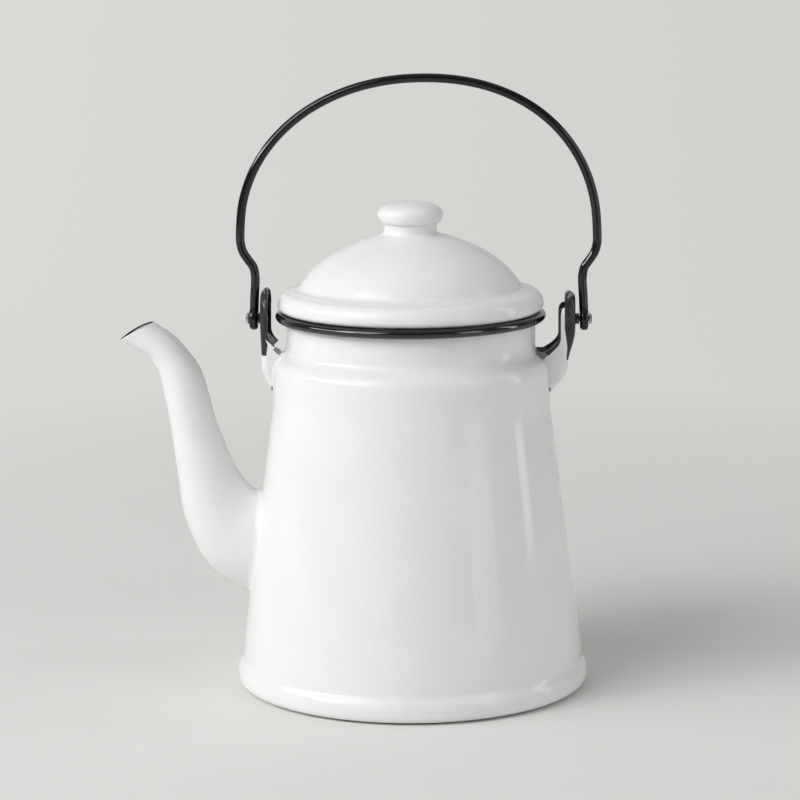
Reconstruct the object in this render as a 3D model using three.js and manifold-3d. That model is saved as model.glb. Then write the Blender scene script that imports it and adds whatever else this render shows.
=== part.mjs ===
// An enamel tea kettle: a conical pressed body, a gooseneck spout, a lift-off lid and a swinging bail.
// Millimetres, +Z up. The origin is the centre of the flat bottom.
// The spout points along -X and the bail swings about X.
import * as THREE from "three";
import { mergeVertices } from "three/addons/utils/BufferGeometryUtils.js";
import Module from "manifold-3d";

// Body: one pressed sheet from foot to rim; radii are outside sizes
const sheet = 1.1; // enamelled steel of the body, spout and ears
const footRadius = 73.9;
const footStraight = 9; // height up to which the foot stands upright
const footTuck = 2; // radius lost over the curve at the foot
const footCurveHeight = 31; // floor to the start of the straight cone
const coneTaper = 11.7; // radius lost along the straight cone
const coneHeight = 88;
const bandTuck = 0.45; // radius lost between the cone and the upright band
const bandRise = 11; // height of that blend
const bandHeight = 7.5; // the upright band under the shoulder
const shoulderStep = 6.25; // radius lost over the shoulder
const shoulderHeight = 12;
const neckHeight = 11.7; // top of the shoulder to the middle of the rim
const rimRollWidth = 5.7; // outside of the rolled rim, in section
const rimRollHeight = 4.2;
const rimRollEnd = (110 / 180) * Math.PI; // how far below level the roll carries on
const shoulderTurnShare = 0.58; // pull of the shoulder's two bends

// Base pan: its edge is folded up round the foot as a bead
const panSheet = 1;
const panFlatInset = 3.4; // wall of the foot to the edge of the flat underside
const beadLift = 0.8; // how far the bead stands off the floor
const beadProud = 2.3; // how far the bead stands out from the wall
const beadMiddle = 4.4; // height of its widest point
const beadHeight = 9.4;
const beadFullShare = 0.72; // fullness of its upper turn

// Lid: a pressed dome with a rolled brim, and the collar welded under it
const lidSheet = 1;
const brimInset = 1; // brim's edge inside the rim's edge
const brimRollRadius = 2.6; // outside of the brim's rolled edge, in section
const brimRollEnd = (100 / 180) * Math.PI;
const brimHeight = 9.55; // underside of the roll to the brim's top beside the dome
const brimFall = 1.2; // fall of the brim's top, from the dome to its edge
const brimShoulder = 3.9; // edge to the start of the brim's outer turn
const domeInset = 10.4; // brim's edge to the foot of the dome
const domeFootFillet = 3.4;
const domeHeight = 25.1; // brim's top to the crown
const domeFootRise = 2; // brim's top to the foot of the dome
const domeUpperPullShares = [0.468, 0.92]; // of the dome's radius and height
const domeLowerPullShares = [0.862, 0.535];
const collarSheet = 0.8;
const collarDepth = 12; // how far the collar reaches below the rim
const collarPlay = 0.7; // between the collar and the neck
const collarFlange = 3.2; // inward flange that is welded to the brim

// Knob: a flared neck and a hollow cap closed over it
const knobSheet = 0.9;
const stemRadius = 11.4;
const stemHeight = 4.45; // dome to the underside of the cap
const stemFlare = 1.1; // how far the neck's foot spreads on the dome
const stemTuck = 1.4; // how far the neck stands up inside the cap
const knobRadius = 14.1;
const knobHeight = 9.3;
const knobWidestShare = 0.41; // of the cap's height
const knobTurnShare = 0.62; // fullness of its turns

// Spout: two pressed halves welded along the middle plane
const spoutOverhang = 52.2; // wall of the foot to the lower lip
const spoutTipHeight = 150; // floor to the lower lip
const spoutRootLow = 40.2; // lower edge of the root on the body
const spoutRootHigh = 83.6; // upper edge of the root on the body
const mouthLength = 17.1; // lower lip to upper lip
const mouthTilt = (27.6 / 180) * Math.PI;
const mouthHalfWidth = 8.5;
const rootHalfWidth = 18;
const widthFallShare = 1.3; // how soon the spout narrows
const spoutInset = 16; // how far the loft runs on inside the body before it is cut
// Lower and upper outline between root and lip, as shares of that way across and up
const lowerOutlineShares = [
  [0.321, 0.094], [0.505, 0.28], [0.569, 0.49], [0.61, 0.652],
  [0.662, 0.801], [0.709, 0.889], [0.803, 0.944],
];
const upperOutlineShares = [
  [0.121, 0.036], [0.23, 0.12], [0.332, 0.256], [0.432, 0.421],
  [0.551, 0.696], [0.668, 0.816], [0.816, 0.921],
];

// Ears: pressed scoops on the shoulder, black at the top
const hingeOffset = 3.4; // middle of the bail, to the right of the body's axis
const hingeBelowRim = 1.6; // pivot below the middle of the rim
const earTopRadius = 10.5; // round top of the ear, seen from the side
const earFootRadius = 6.5; // its round foot
const earAbovePivot = 12.4;
const earBelowPivot = 33;
const earCornerRadius = 3.2;
const earTurnBelowPivot = 20.5; // where the face starts to turn in to the shoulder
const earRootProud = 0.8; // lower end of the face, out from the shoulder
const earLeanStart = 3.6; // below the pivot, where the face starts to lean in
const earLeanEnd = 20;
const flangeAbovePivot = 6; // where the top flange ends
const flangeRounding = 1.8; // of the flange's free edge at the ear's top
const webAbovePivot = 1.5; // from here down the webs' free edges are upright
const sweepHeight = 6.7; // rise of the free edges' sweep up from the shoulder
const sweepInset = 2.9; // end of the sweep, in from the shoulder's radius
// Depths of flange and web behind the face, the face's lean, and where the sweep starts below the pivot
const rightEar = { flange: 4.6, web: 7.3, lean: 3.2, sweepBelow: 6.9 };
const leftEar = { flange: 3.8, web: 3, lean: 0.3, sweepBelow: 5.2 };

// Pivots
const pinRadius = 1.6; // shank in the ear
const pinShoulderRadius = 2.3;
const rightShoulderLength = 1.6; // between ear and bail
const leftShoulderLength = 1.1;
const pinHeadRadius = 3.2;
const pinHeadHeight = 1.2;
const tenonRadius = 1.2; // in the bail's eye
const peenRadius = 1.8;
const peenHeight = 0.35;
const burrRadius = 2.4;
const burrThickness = 0.8;

// Bail: one bent rod with an eye at each foot
const rodRadius = 2;
const eyeRadius = 5;
const eyeThickness = 3.7;
const eyeRounding = 1.7;
const bailStand = 11.25; // shoulder's wall to the middle of an eye
const bailBelly = 5.4; // how far the widest part stands out past the eyes
const legLean = 0.8; // how far a leg leans in from its eye to the kink
const bailHeight = 103; // pivot to the top of the arch
const bailWidestHeight = 36.6; // pivot to the widest part
const bailStraight = 18.2; // pivot to the start of the kink
const kinkHeight = 14.4;
const bailSkew = 3; // how far the crown stands to the right of the feet's middle
const archPowerShare = 2.12; // 2 is an ellipse, more is fuller
// The kink between the leg and the arch, as shares of its way out and up
const kinkShares = [[0.13, 0.28], [0.5, 0.51], [0.85, 0.75]];

// Clearances
const seatGap = 0.3; // between pieces cut by or seated on each other
const pinPlay = 0.3;
const overrun = 4; // how far cutting tools reach past what they cut

// Fineness of the round forms
const longSteps = 7; // steps of the longest bends
const mediumSteps = 5;
const shortSteps = 4;
const smallSteps = 3;
const slightSteps = 2;
const roundSegments = 36;
const knobSegments = 20;
const smallSegments = 12;
const rodSegments = 8;
const rodSteps = 54;
const archSteps = 9;
const spoutSegments = 20;
const spoutSteps = 17;
const earTopSteps = 5;
const earFootSteps = 3;
const earSideSteps = 6;
const earCornerSteps = 3;

// Finishes
const whiteEnamel = new THREE.MeshStandardMaterial({ color: 0xf3f3f1, roughness: 0.15, metalness: 0 });
const blackEnamel = new THREE.MeshStandardMaterial({ color: 0x1a1b1d, roughness: 0.3, metalness: 0 });
const steel = new THREE.MeshStandardMaterial({ color: 0x8d9092, roughness: 0.35, metalness: 1 });

// Radii and heights that follow from the sizes above
const coneStartRadius = footRadius - footTuck;
const coneTopRadius = coneStartRadius - coneTaper;
const shoulderRadius = coneTopRadius - bandTuck;
const neckRadius = shoulderRadius - shoulderStep;
const rimRollMiddle = neckRadius - sheet + rimRollWidth / 2;
const rimRadius = rimRollMiddle + rimRollWidth / 2;
const wallFoot = panSheet + beadLift + seatGap;
const coneTop = footCurveHeight + coneHeight;
const bandBottom = coneTop + bandRise;
const bandTop = bandBottom + bandHeight;
const neckBottom = bandTop + shoulderHeight;
const rimMiddle = neckBottom + neckHeight;
const rimTop = rimMiddle + rimRollHeight / 2;
const pivotHeight = rimMiddle - hingeBelowRim;
const brimUnderside = rimTop + seatGap;
const brimTop = brimUnderside + brimHeight;
const brimRadius = rimRadius - brimInset;
const domeRadius = brimRadius - domeInset;
const spoutReach = footRadius + spoutOverhang;
const bailFoot = shoulderRadius + bailStand;
const bailSpread = bailFoot + bailBelly;

const wasm = await Module();
wasm.setup();

// A geometry as a solid, for joining and cutting.
function toSolid(geometry) {
  const bare = geometry.clone();
  bare.deleteAttribute("normal");
  bare.deleteAttribute("uv");
  const merged = mergeVertices(bare);
  const vertProperties = new Float32Array(merged.attributes.position.array);
  const triVerts = new Uint32Array(merged.index.array);
  return new wasm.Manifold(new wasm.Mesh({ numProp: 3, vertProperties, triVerts }));
}

// A solid as a geometry.
function toGeometry(solid) {
  const { vertProperties, triVerts } = solid.getMesh();
  const geometry = new THREE.BufferGeometry();
  geometry.setAttribute("position", new THREE.BufferAttribute(new Float32Array(vertProperties), 3));
  geometry.setIndex(new THREE.BufferAttribute(new Uint32Array(triVerts), 1));
  geometry.computeVertexNormals();
  return geometry;
}

// Draws a line of points in a plane, stretch by stretch.
class Pen {
  constructor(x, y) {
    this.points = [new THREE.Vector2(x, y)];
  }

  get here() {
    return this.points[this.points.length - 1];
  }

  follow(curve, steps) {
    this.points.push(...curve.getPoints(steps).slice(1));
    return this;
  }

  line(x, y) {
    this.points.push(new THREE.Vector2(x, y));
    return this;
  }

  // A bend that leaves here towards the corner and arrives from it.
  bend(cornerX, cornerY, x, y, steps) {
    const corner = new THREE.Vector2(cornerX, cornerY);
    return this.follow(new THREE.QuadraticBezierCurve(this.here, corner, new THREE.Vector2(x, y)), steps);
  }

  // A curve with a pull at each end.
  sweep(pullX, pullY, endPullX, endPullY, x, y, steps) {
    const pull = new THREE.Vector2(pullX, pullY);
    const endPull = new THREE.Vector2(endPullX, endPullY);
    return this.follow(new THREE.CubicBezierCurve(this.here, pull, endPull, new THREE.Vector2(x, y)), steps);
  }

  // A clockwise arc of an ellipse; the pen already stands at its start.
  arc(centreX, centreY, halfWidth, halfHeight, from, to, steps) {
    const curve = new THREE.EllipseCurve(centreX, centreY, halfWidth, halfHeight, from, to, true);
    return this.follow(curve, steps);
  }
}

// An open line moved sideways to its left by an even distance.
function offsetLine(points, distance) {
  const last = points.length - 1;
  return points.map((point, i) => {
    const run = (from, to) => points[to].clone().sub(points[from]).normalize();
    const before = run(Math.max(i - 1, 0), Math.max(i, 1));
    const after = run(Math.min(i, last - 1), Math.min(i + 1, last));
    const along = before.clone().add(after).normalize();
    const left = new THREE.Vector2(-along.y, along.x);
    const squareness = along.dot(before);
    return point.clone().addScaledVector(left, distance / squareness);
  });
}

// The closed outline of a sheet of even thickness along its middle line.
function sheetOutline(middle, thickness) {
  const right = offsetLine(middle, -thickness / 2);
  const left = offsetLine(middle, thickness / 2).reverse();
  const onAxis = middle[0].x === 0;
  if (onAxis) {
    right[0].x = 0;
    left[left.length - 1].x = 0;
  }
  const outline = [...right, ...left];
  return onAxis ? outline : [...outline, right[0].clone()];
}

// Revolves an outline of radius and height about the Z axis.
function revolve(outline, segments = roundSegments) {
  return new THREE.LatheGeometry(outline, segments).rotateX(Math.PI / 2);
}

// A round form about the X axis, from an outline of radius and place along X.
function revolveAlongX(outline, segments = smallSegments) {
  return revolve(outline, segments).rotateY(Math.PI / 2);
}

// A cylinder along X that starts at a place on that axis.
function cylinderAlongX(radius, start, length) {
  const outline = [
    new THREE.Vector2(0, start),
    new THREE.Vector2(radius, start),
    new THREE.Vector2(radius, start + length),
    new THREE.Vector2(0, start + length),
  ];
  return revolveAlongX(outline);
}

// An outline in the XZ plane, extruded to both sides of it.
function extrudeAcross(outline, halfWidth) {
  const shape = new THREE.Shape(outline);
  const geometry = new THREE.ExtrudeGeometry(shape, { depth: 2 * halfWidth, bevelEnabled: false });
  return geometry.rotateX(Math.PI / 2).translate(0, halfWidth, 0);
}

// Skins rings of points that have the same count. The ends are closed by fans, or by straight rows across
// a ring whose first point is its top and whose two halves mirror each other.
function skin(rings, closeByRows = false) {
  const count = rings[0].length;
  const points = rings.flat();
  const index = [];
  for (let ring = 0; ring < rings.length - 1; ring++) {
    for (let i = 0; i < count; i++) {
      const next = (i + 1) % count;
      const a = ring * count + i;
      const b = ring * count + next;
      index.push(a, b, b + count, a, b + count, a + count);
    }
  }
  const close = (first, turned) => {
    const add = (a, b, c) => index.push(...(turned ? [a, c, b] : [a, b, c]));
    if (closeByRows) {
      for (let i = 1; i < count / 2; i++) {
        const mirrored = (count - i + 1) % count;
        add(first + i - 1, first + count - i, first + i);
        if (i > 1) add(first + i - 1, first + mirrored, first + count - i);
      }
      add(first + count / 2 - 1, first + count / 2 + 1, first + count / 2);
    } else {
      const centre = new THREE.Vector3();
      for (let i = 0; i < count; i++) centre.addScaledVector(points[first + i], 1 / count);
      points.push(centre);
      for (let i = 0; i < count; i++) add(first + ((i + 1) % count), first + i, points.length - 1);
    }
  };
  close(0, false);
  close((rings.length - 1) * count, true);
  const geometry = new THREE.BufferGeometry().setFromPoints(points);
  geometry.setIndex(index);
  return geometry;
}

function mesh(name, geometry, material) {
  const made = new THREE.Mesh(geometry, material);
  made.name = name;
  return made;
}

// Outside radius of the straight cone at a height.
function coneRadiusAt(height) {
  return coneStartRadius - ((height - footCurveHeight) / coneHeight) * coneTaper;
}

// The middle line of the body's wall, from the foot to the middle of the rim.
function wallLine() {
  const half = sheet / 2;
  const foot = footRadius - half;
  const shoulder = shoulderRadius - half;
  const neck = neckRadius - half;
  const turn = shoulderHeight * shoulderTurnShare;
  const meeting = footCurveHeight - (footTuck / coneTaper) * coneHeight;
  return new Pen(foot, wallFoot)
    .line(foot, footStraight)
    .bend(foot, Math.max(meeting, footStraight), coneStartRadius - half, footCurveHeight, smallSteps)
    .line(coneTopRadius - half, coneTop)
    .bend(shoulder, coneTop + (bandTuck / coneTaper) * coneHeight, shoulder, bandBottom, slightSteps)
    .line(shoulder, bandTop)
    .sweep(shoulder, bandTop + turn, neck, neckBottom - turn, neck, neckBottom, mediumSteps)
    .line(neck, rimMiddle);
}

// The middle line of the base pan, from the axis to the edge folded up round the foot.
function panLine() {
  const half = panSheet / 2;
  const widest = footRadius + beadProud - half;
  const level = half + beadLift;
  const edge = footRadius + seatGap + half;
  const full = beadMiddle + (beadHeight - beadMiddle) * beadFullShare;
  return new Pen(0, half)
    .line(footRadius - panFlatInset, half)
    .line(footRadius - sheet, level)
    .bend(widest, level, widest, beadMiddle, smallSteps)
    .sweep(widest, full, widest, beadHeight, edge, beadHeight, smallSteps);
}

// The middle line of the lid, from the crown to the end of the brim's rolled edge.
function lidLine() {
  const half = lidSheet / 2;
  const top = brimTop - half;
  const rise = (share) => top + domeHeight * share;
  const [upperRadiusShare, upperHeightShare] = domeUpperPullShares;
  const [lowerRadiusShare, lowerHeightShare] = domeLowerPullShares;
  const footSlope = (1 - lowerRadiusShare) * domeRadius;
  const footDrop = rise(lowerHeightShare) - (top + domeFootRise);
  const filletX = domeRadius + (domeFootRise / footDrop) * footSlope;
  const turnStart = brimRadius - brimShoulder;
  const edge = brimRadius - half;
  const rollMiddle = brimUnderside + brimRollRadius;
  const rollRadius = brimRollRadius - half;
  return new Pen(0, rise(1))
    .sweep(
      domeRadius * upperRadiusShare, rise(upperHeightShare),
      domeRadius * lowerRadiusShare, rise(lowerHeightShare),
      domeRadius, top + domeFootRise,
      longSteps,
    )
    .bend(filletX, top, domeRadius + domeFootFillet, top, slightSteps)
    .line(turnStart, top - brimFall)
    .sweep(
      (turnStart + edge) / 2, top - brimFall * (1 + (edge - turnStart) / (turnStart - domeRadius) / 2),
      edge, (top - brimFall + rollMiddle) / 2,
      edge, rollMiddle,
      shortSteps,
    )
    .arc(brimRadius - brimRollRadius, rollMiddle, rollRadius, rollRadius, 0, -brimRollEnd, shortSteps);
}

// The height of a line of points at a radius.
function heightAt(points, radius) {
  const after = points.findIndex((point) => point.x >= radius);
  const a = points[after - 1];
  const b = points[after];
  return a.y + ((radius - a.x) / (b.x - a.x)) * (b.y - a.y);
}

const wall = wallLine();

// All that lies inside the body's wall and a seat's clearance round it, for cutting what is mitred to it.
function bodyCutter() {
  const outside = offsetLine(wall.points, -(sheet / 2 + seatGap));
  const bottom = new THREE.Vector2(0, outside[0].y);
  const top = new THREE.Vector2(0, outside[outside.length - 1].y);
  return toSolid(revolve([bottom, ...outside, top]));
}

// The rings of the spout's skin, from inside the body to the mouth, drawn in by an inset.
function spoutRings(inset, pastMouth) {
  const lowRoot = new THREE.Vector2(-coneRadiusAt(spoutRootLow), spoutRootLow);
  const highRoot = new THREE.Vector2(-coneRadiusAt(spoutRootHigh), spoutRootHigh);
  const lowLip = new THREE.Vector2(-spoutReach, spoutTipHeight);
  const lipWay = new THREE.Vector2(Math.cos(mouthTilt), Math.sin(mouthTilt));
  const highLip = lowLip.clone().addScaledVector(lipWay, mouthLength);
  const outline = (root, lip, shares) => {
    const way = lip.clone().sub(root);
    const start = root.clone().add(new THREE.Vector2(spoutInset, 0));
    const between = shares.map(([across, up]) => new THREE.Vector2(way.x * across, way.y * up).add(root));
    return new THREE.SplineCurve([start, root, ...between, lip]);
  };
  const lower = outline(lowRoot, lowLip, lowerOutlineShares);
  const upper = outline(highRoot, highLip, upperOutlineShares);
  const rootShare = 1 / (lowerOutlineShares.length + 2);
  const ring = (low, high, share, shift) => {
    const middle = low.clone().add(high).multiplyScalar(1 / 2).add(shift);
    const chord = high.clone().sub(low);
    const halfChord = chord.length() / 2 - inset;
    chord.normalize();
    const along = Math.max(share - rootShare, 0) / (1 - rootShare);
    const widening = (rootHalfWidth - mouthHalfWidth) * (1 - along) ** widthFallShare;
    const halfWidth = mouthHalfWidth + widening - inset;
    return Array.from({ length: spoutSegments }, (_, i) => {
      const angle = (i / spoutSegments) * 2 * Math.PI;
      const up = Math.cos(angle) * halfChord;
      return new THREE.Vector3(middle.x + chord.x * up, Math.sin(angle) * halfWidth, middle.y + chord.y * up);
    });
  };
  const still = new THREE.Vector2();
  const rings = Array.from({ length: spoutSteps + 1 }, (_, i) => {
    const share = i / spoutSteps;
    return ring(lower.getPoint(share), upper.getPoint(share), share, still);
  });
  if (pastMouth > 0) {
    const outward = new THREE.Vector2(-lipWay.y, lipWay.x).multiplyScalar(pastMouth);
    rings.push(ring(lowLip, highLip, 1, outward));
  }
  return rings;
}

// The box on one side of the middle plane, wide enough for the whole spout.
function sideBox(side) {
  const size = 2 * (spoutReach + overrun);
  return toSolid(new THREE.BoxGeometry(size, size, 2 * size).translate(0, (side * size) / 2, 0));
}

const cutter = bodyCutter();
const passage = toSolid(skin(spoutRings(sheet, overrun)));

function makeBody() {
  const rollHalfWidth = (rimRollWidth - sheet) / 2;
  const rollHalfHeight = (rimRollHeight - sheet) / 2;
  const line = new Pen(0, 0);
  line.points = [...wall.points];
  line.arc(rimRollMiddle, rimMiddle, rollHalfWidth, rollHalfHeight, Math.PI, -rimRollEnd, longSteps);
  const shell = toSolid(revolve(sheetOutline(line.points, sheet)));
  return mesh("body_shell", toGeometry(shell.subtract(passage)), whiteEnamel);
}

function makePan() {
  return mesh("base_pan", revolve(sheetOutline(panLine().points, panSheet)), whiteEnamel);
}

function makeSpout() {
  const shell = toSolid(skin(spoutRings(0, 0))).subtract(passage).subtract(cutter);
  return [
    mesh("spout_near_half", toGeometry(shell.intersect(sideBox(-1))), whiteEnamel),
    mesh("spout_far_half", toGeometry(shell.intersect(sideBox(1))), whiteEnamel),
  ];
}

function makeLid() {
  const line = lidLine();
  const dome = mesh("lid_dome", revolve(sheetOutline(line.points, lidSheet)), whiteEnamel);
  const ringRadius = neckRadius - sheet - collarPlay - collarSheet / 2;
  const underside = offsetLine(line.points, -lidSheet / 2);
  const seat = heightAt(underside, ringRadius) - seatGap - collarSheet / 2;
  const collarLine = new Pen(ringRadius, rimTop - collarDepth)
    .line(ringRadius, seat - collarSheet)
    .line(ringRadius - collarSheet, seat)
    .line(ringRadius - collarFlange, seat);
  const collar = mesh("lid_collar", revolve(sheetOutline(collarLine.points, collarSheet)), whiteEnamel);

  const half = knobSheet / 2;
  const domeTopLine = offsetLine(line.points, lidSheet / 2);
  const stemLine = stemRadius - half;
  const footRadiusOfStem = stemRadius + stemFlare - half;
  const footHeight = heightAt(domeTopLine, footRadiusOfStem) + seatGap + half;
  const stemBase = heightAt(domeTopLine, stemRadius);
  const capUnder = stemBase + stemHeight;
  const stem = new Pen(footRadiusOfStem, footHeight)
    .bend(stemLine, footHeight, stemLine, footHeight + stemFlare, smallSteps)
    .line(stemLine, capUnder + stemTuck);
  const capTop = capUnder + knobHeight - half;
  const widest = capUnder + knobHeight * knobWidestShare;
  const edge = knobRadius - half;
  const lip = stemRadius + seatGap + half;
  const lipHeight = capUnder + half;
  const crownPull = widest + (capTop - widest) * knobTurnShare;
  const underPull = widest - (widest - lipHeight) * knobTurnShare;
  const lipPull = lip + (edge - lip) * knobTurnShare;
  const cap = new Pen(0, capTop)
    .sweep(edge * knobTurnShare, capTop, edge, crownPull, edge, widest, longSteps)
    .sweep(edge, underPull, lipPull, lipHeight, lip, lipHeight, mediumSteps);
  return [
    dome,
    collar,
    mesh("knob_stem", revolve(sheetOutline(stem.points, knobSheet), knobSegments), whiteEnamel),
    mesh("knob_cap", revolve(sheetOutline(cap.points, knobSheet), knobSegments), whiteEnamel),
  ];
}

// How far the ear's face stands in at a height, first by its lean and then by its turn to the shoulder.
function earSetBack(faceX, lean, height) {
  const below = pivotHeight - height;
  const leanShare = THREE.MathUtils.smoothstep(below, earLeanStart, earLeanEnd);
  const turnShare = THREE.MathUtils.smoothstep(below, earTurnBelowPivot, earBelowPivot);
  const turn = faceX - lean - shoulderRadius - earRootProud;
  return lean * leanShare + turn * turnShare;
}

// A ring of the ear's side view, drawn in by an inset, at a depth behind the face or at a given X.
function earRing(faceX, lean, inset, depth, backX) {
  const topMiddle = pivotHeight + earAbovePivot - earTopRadius;
  const footMiddle = pivotHeight - earBelowPivot + earFootRadius;
  const taper = Math.asin((earTopRadius - earFootRadius) / (topMiddle - footMiddle));
  const topRadius = earTopRadius - inset;
  const footRadiusHere = earFootRadius - inset;
  const half = [];
  const arc = (middle, radius, from, to, steps) => {
    for (let i = 0; i <= steps; i++) {
      const angle = from + ((to - from) * i) / steps;
      half.push([-radius * Math.cos(angle), middle + radius * Math.sin(angle)]);
    }
  };
  arc(topMiddle, topRadius, Math.PI / 2, -taper, earTopSteps);
  const [topY, topZ] = half[half.length - 1];
  const footY = -footRadiusHere * Math.cos(taper);
  const footZ = footMiddle - footRadiusHere * Math.sin(taper);
  for (let i = 1; i < earSideSteps; i++) {
    const share = i / earSideSteps;
    half.push([topY + (footY - topY) * share, topZ + (footZ - topZ) * share]);
  }
  arc(footMiddle, footRadiusHere, -taper, -Math.PI / 2, earFootSteps);
  const mirrored = half.slice(1, -1).reverse().map(([y, z]) => [-y, z]);
  return [...half, ...mirrored].map(([y, z]) => {
    const x = backX === null ? faceX - depth - earSetBack(faceX, lean, z) : backX;
    return new THREE.Vector3(x, y, z);
  });
}

// The ear's solid outer form, or its hollow when it is drawn in by the sheet.
function earForm(faceX, lean, inset, backX) {
  const corner = earCornerRadius - inset;
  const rings = [earRing(faceX, lean, inset, 0, backX)];
  for (let i = 0; i <= earCornerSteps; i++) {
    const angle = ((i / earCornerSteps) * Math.PI) / 2;
    const further = inset + corner * (1 - Math.cos(angle));
    rings.push(earRing(faceX, lean, further, inset + corner * (1 - Math.sin(angle)), null));
  }
  return toSolid(skin(rings, true));
}

// What lies behind the free edges of the ear's flange and webs.
function earBack(faceX, { flange, web, sweepBelow }, backX) {
  const earTop = pivotHeight + earAbovePivot;
  const flangeX = faceX - flange;
  const webX = faceX - web;
  const upper = pivotHeight + flangeAbovePivot;
  const level = pivotHeight + webAbovePivot;
  const sweepTop = pivotHeight - sweepBelow;
  const root = sweepTop - sweepHeight;
  const outline = new Pen(backX - overrun, earTop + overrun)
    .line(flangeX + flangeRounding, earTop + overrun)
    .line(flangeX + flangeRounding, earTop)
    .bend(flangeX, earTop, flangeX, earTop - flangeRounding, slightSteps)
    .line(flangeX, upper)
    .bend(webX, upper, webX, level, smallSteps)
    .line(webX, sweepTop)
    .bend(webX, (sweepTop + root) / 2, shoulderRadius - sweepInset, root, shortSteps)
    .line(backX - overrun, root);
  return toSolid(extrudeAcross(outline.points, earTopRadius + overrun));
}

// One ear, built on the right at its face's distance from the body's axis.
function makeEar(faceX, ear) {
  const backX = neckRadius - earTopRadius;
  const hole = cylinderAlongX(pinRadius + pinPlay, faceX - overrun, 2 * overrun).translate(0, 0, pivotHeight);
  const shell = earForm(faceX, ear.lean, 0, backX)
    .subtract(earForm(faceX, ear.lean, sheet, backX - overrun))
    .subtract(earBack(faceX, ear, backX))
    .subtract(cutter)
    .subtract(toSolid(hole));
  return toGeometry(shell);
}

// The pivot pin about X, with zero at the ear's outer face.
function makePin(shoulderLength) {
  const tenonEnd = shoulderLength + seatGap + eyeThickness + seatGap + burrThickness;
  const headFront = -sheet - seatGap;
  const headBack = headFront - pinHeadHeight;
  const outline = new Pen(0, headBack)
    .bend(pinHeadRadius, headBack, pinHeadRadius, headFront, smallSteps)
    .line(pinRadius, headFront)
    .line(pinRadius, 0)
    .line(pinShoulderRadius, 0)
    .line(pinShoulderRadius, shoulderLength)
    .line(tenonRadius, shoulderLength)
    .line(tenonRadius, tenonEnd)
    .line(peenRadius, tenonEnd)
    .bend(peenRadius, tenonEnd + peenHeight, 0, tenonEnd + peenHeight, smallSteps);
  return revolveAlongX(outline.points);
}

// The washer under the peened end of the tenon.
function makeBurr(shoulderLength) {
  const start = shoulderLength + seatGap + eyeThickness + seatGap;
  const bore = tenonRadius + seatGap;
  const outline = new Pen(bore, start)
    .line(burrRadius, start)
    .line(burrRadius, start + burrThickness)
    .line(bore, start + burrThickness)
    .line(bore, start);
  return revolveAlongX(outline.points);
}

// An eye of the bail about X, with zero at its middle.
function makeEye() {
  const half = eyeThickness / 2;
  const outline = new Pen(0, -half)
    .line(eyeRadius - eyeRounding, -half)
    .bend(eyeRadius, -half, eyeRadius, eyeRounding - half, 2)
    .line(eyeRadius, half - eyeRounding)
    .bend(eyeRadius, half, eyeRadius - eyeRounding, half, 2)
    .line(0, half);
  return revolveAlongX(outline.points);
}

// The bail's middle line, from the left eye over the arch to the right eye, about the pivots' middle.
function bailLine() {
  const archRise = bailHeight - bailWidestHeight;
  const archX = (height) => {
    const share = Math.abs(height - bailWidestHeight) / archRise;
    return bailSpread * (1 - share ** archPowerShare) ** (1 / archPowerShare);
  };
  const kinkTop = bailStraight + kinkHeight;
  const kinkEnd = archX(kinkTop);
  const legTop = bailFoot - legLean;
  const side = [
    new THREE.Vector2(bailFoot, 0),
    new THREE.Vector2((bailFoot + legTop) / 2, bailStraight / 2),
    new THREE.Vector2(legTop, bailStraight),
  ];
  for (const [out, up] of kinkShares) {
    side.push(new THREE.Vector2(legTop + (kinkEnd - legTop) * out, bailStraight + kinkHeight * up));
  }
  side.push(new THREE.Vector2(kinkEnd, kinkTop));
  for (let i = 0; i < archSteps; i++) {
    const angle = ((i / archSteps) * Math.PI) / 2;
    const height = bailWidestHeight + archRise * Math.sin(angle) ** (2 / archPowerShare);
    side.push(new THREE.Vector2(archX(height), height));
  }
  const place = (sign) => (point) => {
    const share = Math.max(point.y - bailWidestHeight, 0) / archRise;
    return new THREE.Vector3(sign * point.x + bailSkew * share ** 2, 0, point.y);
  };
  const crown = new THREE.Vector2(0, bailHeight);
  const left = side.map(place(-1));
  const right = [...side].reverse().map(place(1));
  return new THREE.CatmullRomCurve3([...left, place(1)(crown), ...right], false, "centripetal");
}

function makeBail() {
  const section = new THREE.Shape(
    Array.from({ length: rodSegments }, (_, i) => {
      const angle = (i / rodSegments) * 2 * Math.PI;
      return new THREE.Vector2(Math.cos(angle), Math.sin(angle)).multiplyScalar(rodRadius);
    }),
  );
  const rod = new THREE.ExtrudeGeometry(section, { steps: rodSteps, extrudePath: bailLine() });
  let solid = toSolid(rod);
  for (const side of [-1, 1]) {
    solid = solid.add(toSolid(makeEye().translate(side * bailFoot, 0, 0)));
  }
  for (const side of [-1, 1]) {
    const start = side * bailFoot - eyeThickness;
    solid = solid.subtract(toSolid(cylinderAlongX(tenonRadius + pinPlay, start, 2 * eyeThickness)));
  }
  const bail = mesh("bail_rod", toGeometry(solid), blackEnamel);
  bail.position.set(hingeOffset, 0, pivotHeight);
  return bail;
}

// Both sides' ears, pins and washers. The left ones are built on the right and mirrored.
function makeSides() {
  return [
    ["left", -1, leftEar, leftShoulderLength],
    ["right", 1, rightEar, rightShoulderLength],
  ].flatMap(([name, side, form, shoulderLength]) => {
    const faceX = bailFoot + side * hingeOffset - eyeThickness / 2 - seatGap - shoulderLength;
    const ear = mesh("ear_" + name, makeEar(faceX, form), whiteEnamel);
    ear.scale.x = side;
    const pin = mesh("pivot_pin_" + name, makePin(shoulderLength), steel);
    const burr = mesh("burr_washer_" + name, makeBurr(shoulderLength), steel);
    for (const piece of [pin, burr]) {
      piece.position.set(side * faceX, 0, pivotHeight);
      piece.scale.x = side;
    }
    return [ear, pin, burr];
  });
}

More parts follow.
